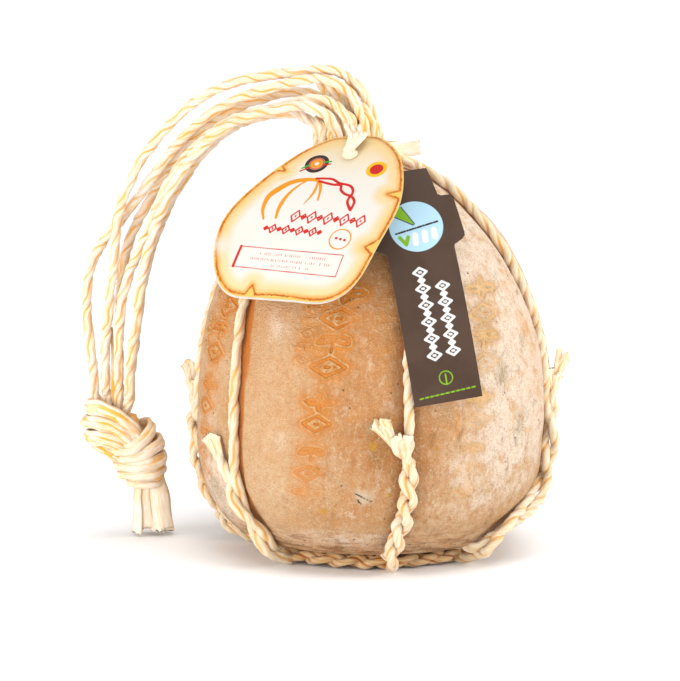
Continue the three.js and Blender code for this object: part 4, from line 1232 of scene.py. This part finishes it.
rear_leaf = card_leaf("parchment_rear", PARCHMENT, 0.0, 0.4, parchment_finish,
                      {name: np.zeros(across.shape) for name in fields})
for leaf in (front_leaf, rear_leaf):
    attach(leaf, "root")
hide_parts("parchment_tag")


# ---- The long tag -----------------------------------------------------------------------------
# A stiff brown card cut like a bottle, with a narrow head, square shoulders and a long body. Its
# print is a pale blue disc, two columns of white ornament and a small green mark.
LONG = {"face": 4.0, "reach": 49.5, "height": 193.0, "tilt": 38.0, "ease": -0.28, "roll": 9.0, "shift": 10.0}
HALF_WIDTH = np.array([(0, 11.5), (15, 13.8), (16.0, 15.2), (16.2, 19.4), (17.4, 20.8), (36.2, 22.3),
                       (38.2, 22.2), (39.8, 20.6), (41.8, 16.6), (43, 16.2), (115.5, 16.2)])
OFF_DISC = 9

down = np.unique(np.r_[np.arange(0, 115.6, 0.46), HALF_WIDTH[:, 0], 115.5])[:, None]
across = np.interp(down, HALF_WIDTH[:, 0], HALF_WIDTH[:, 1]) * np.linspace(-1, 1, 76)
down = down + 0 * across
disc = round_line((0.2, 30), 0, 12.9)
posts = ink([[(-1.6, 38.4), (-1.2, 34.4)], [(3.2, 37.8), (3.6, 33.8)], [(8.0, 36.6), (8.2, 33.2)]], 1.5)
leaf_body = closest(across, down, [(-11, 17), (-1.0, 28.6)], (4.4, 0.3))
horizon = ink([[(x, 30.92 - x * 0.16), (x + 0.5, 30.82 - x * 0.16)] for x in np.arange(-10, 10.5, 1.35)], 0.5)
dashes = [[(x, 111.3 - x * 0.06), (x + 1.5, 111.2 - x * 0.06)] for x in np.arange(-13, 12.6, 2.5)]
fields = {
    "disc": disc,
    "white_ink": np.minimum.reduce([
        ink(row_of("lozenge", "diamond", 11, (-2.5, 53.0), (-0.04, 4.0), (3.2, 2.2), lying=False), 0.55),
        ink(row_of("lozenge", "diamond", 9, (6.8, 61.0), (-0.078, 3.9), (3.1, 2.1), lying=False), 0.55),
        np.where(disc < 0, posts, OFF_DISC)]),
    "green_ink": np.minimum.reduce([
        leaf_body, closest(across, down, [(-8.6, 34.6), (-6.2, 38.6), (-4.6, 34.8)], 0.9),
        round_line((0.6, 104.1), 3.1, 0.28), ink([[(0.6, 102.4), (0.6, 107.2)], *dashes], 0.36)]),
    "dark_ink": np.where(disc < -0.3, np.minimum(np.abs(leaf_body - 0.3) - 0.3, horizon), OFF_DISC),
    "printed": np.ones(disc.shape),
}
brown = Finish("printed_brown_card")
place = brown.place()
cloud = brown.noise(place, 60, 2)
grain = brown.noise(place, 700, 3, 0.6)
colour = brown.layered((82, 62, 50), ((94, 73, 60), cloud.between(0.35, 0.65) * 0.6 + grain * 0.4))
colour = inked(brown, colour, {"disc": (196, 236, 255), "green_ink": (142, 196, 40), "dark_ink": (66, 50, 42),
                               "white_ink": (250, 250, 248)}, (214, 200, 184))
brown_finish = brown.finished(colour, 0.5 + (grain - 0.5) * 0.2, grain, 0.00004, Specular_IOR_Level=0.14)
long_tag = card_leaf("long_card", LONG, 0.0, 0.8, brown_finish, fields)
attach(long_tag, "root")
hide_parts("long_tag")


# ---- The ribbon round the neck and the string of the tag --------------------------------------
# Flat raffia ribbon is wound round the gathered cords at the neck, one cut end standing out to
# the right. A soft white cotton string ties the parchment tag: a small knot on its face, and a
# frayed tuft up to the neck.
NECK_X, NECK_Y = -9, -0.5
WRAPS = [(194.6, 0.2), (198.0, 0.9), (201.2, 0.3)]
TUFT_TOP = np.array([-9.2, -22.5, 212.0])
STRING_LOOPS = [(3.0, 0.75, -2.2), (2.5, 0.7, -1.2), (2.7, 0.7, -0.4), (1.9, 0.75, 0.5)]

tie_parts = []
turn = np.linspace(0, 2 * np.pi, 60)
for index, (height, swell) in enumerate(WRAPS):
    wrap = evenly(np.stack([NECK_X + (20.0 + swell) * np.cos(turn), NECK_Y + (16.6 + swell) * np.sin(turn),
                            height + 0.9 * np.sin(turn + index)], axis=1))
    tie_parts.append(bundle_surface(wrap, 2.1, 0.7, (wrap - [NECK_X, NECK_Y, 0]) * [1, 1, 0],
                                    seed=90 + index, sides=20))
ribbon = through([(10.8, -1.2, 198.6), (15, -1.6, 199.9), (19.5, -2.2, 200.6), (22.8, -2.6, 201.3)])
tie_parts.append(bundle_surface(ribbon, np.linspace(3.1, 3.7, len(ribbon)), 0.42, (0.45, -1, 0.5),
                                seed=96, sides=24, creases=0.8, cut=0.5))
# The ribbon's raffia is a lighter copy: painted light against the shade that falls on it behind the tag.
raffia_ribbon_lightened = raffia("raffia_ribbon_lightened", (254, 238, 218), (252, 228, 196), (250, 212, 158), (246, 194, 110),
                       1.0, 0.5)
tie = tubes("neck_ribbon", tie_parts, raffia_ribbon_lightened)
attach(tie, "root")
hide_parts("neck_tie")

cotton = Finish("cotton_string")
lie = cotton.node("ShaderNodeUVMap", {"uv_map": "lie"})
fluff = cotton.noise(cotton.stretched(lie, 1, 0.2, 1), 3.0, 4, 0.7)
# The string is cream, warmer and darker along its creases and edges: partly the fluff's own tone, partly
# painted shade in the creases.
colour = cotton.layered((255, 236, 208, 1.05),
                        ((248, 206, 152, 1.05), (cotton.field("gap") * 0.7 + fluff * 0.6).between(0.4, 0.9)))
cotton_finish = cotton.finished(colour, 0.85, fluff, 0.0004, Sheen_Weight=0.4, Subsurface_Weight=0.2,
                                Subsurface_Scale=0.003)
knot_at, rise_at = on_card(PARCHMENT, np.array([6.5, 7.5]), np.array([2.5, -7.0]), np.array([4.4, 4.2]))
string_parts = []
chance = np.random.default_rng(31)
for index in range(22):
    shift = chance.uniform(-1, 1, 3) * [3.2, 1.3, 0]
    splay = chance.uniform(-1, 1, 3) * [1.6, 0.8, 2.6]
    path = through([knot_at + shift * 0.4, rise_at + shift * 1.3 + [0, -0.5, 1.5],
                    (rise_at + TUFT_TOP) / 2 + shift * 1.2, TUFT_TOP + shift * 1.5 + splay])
    string_parts.append(bundle_surface(path, rounded(path, 1.0, 2), rounded(path, 0.7, 2),
                                       (shift[0] * 0.4, -1, 0.3), seed=100 + index, sides=14, creases=1.6,
                                       cut=0.5))
face_out = unit(on_card(PARCHMENT, np.array(6.5), np.array(2.5), np.array(9.4)) - knot_at)
face_right = outward(PARCHMENT["face"] + 90)
face_down = np.cross(face_right, face_out)
turn = np.linspace(0, 2 * np.pi, 40)[:, None]
for index, (reach, thick, lift) in enumerate(STRING_LOOPS):
    round_knot = np.cos(turn) * face_right * 1.05 + np.sin(turn + 0.3 * index) * face_down * 0.9
    loop = evenly(knot_at + reach * round_knot + lift * face_out, 0.4)
    string_parts.append(bundle_surface(loop, thick, thick, face_out, seed=115 + index, sides=14, creases=1.5))
string = tubes("tag_string", string_parts, cotton_finish)
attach(string, "root")
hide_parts("tag_tie")
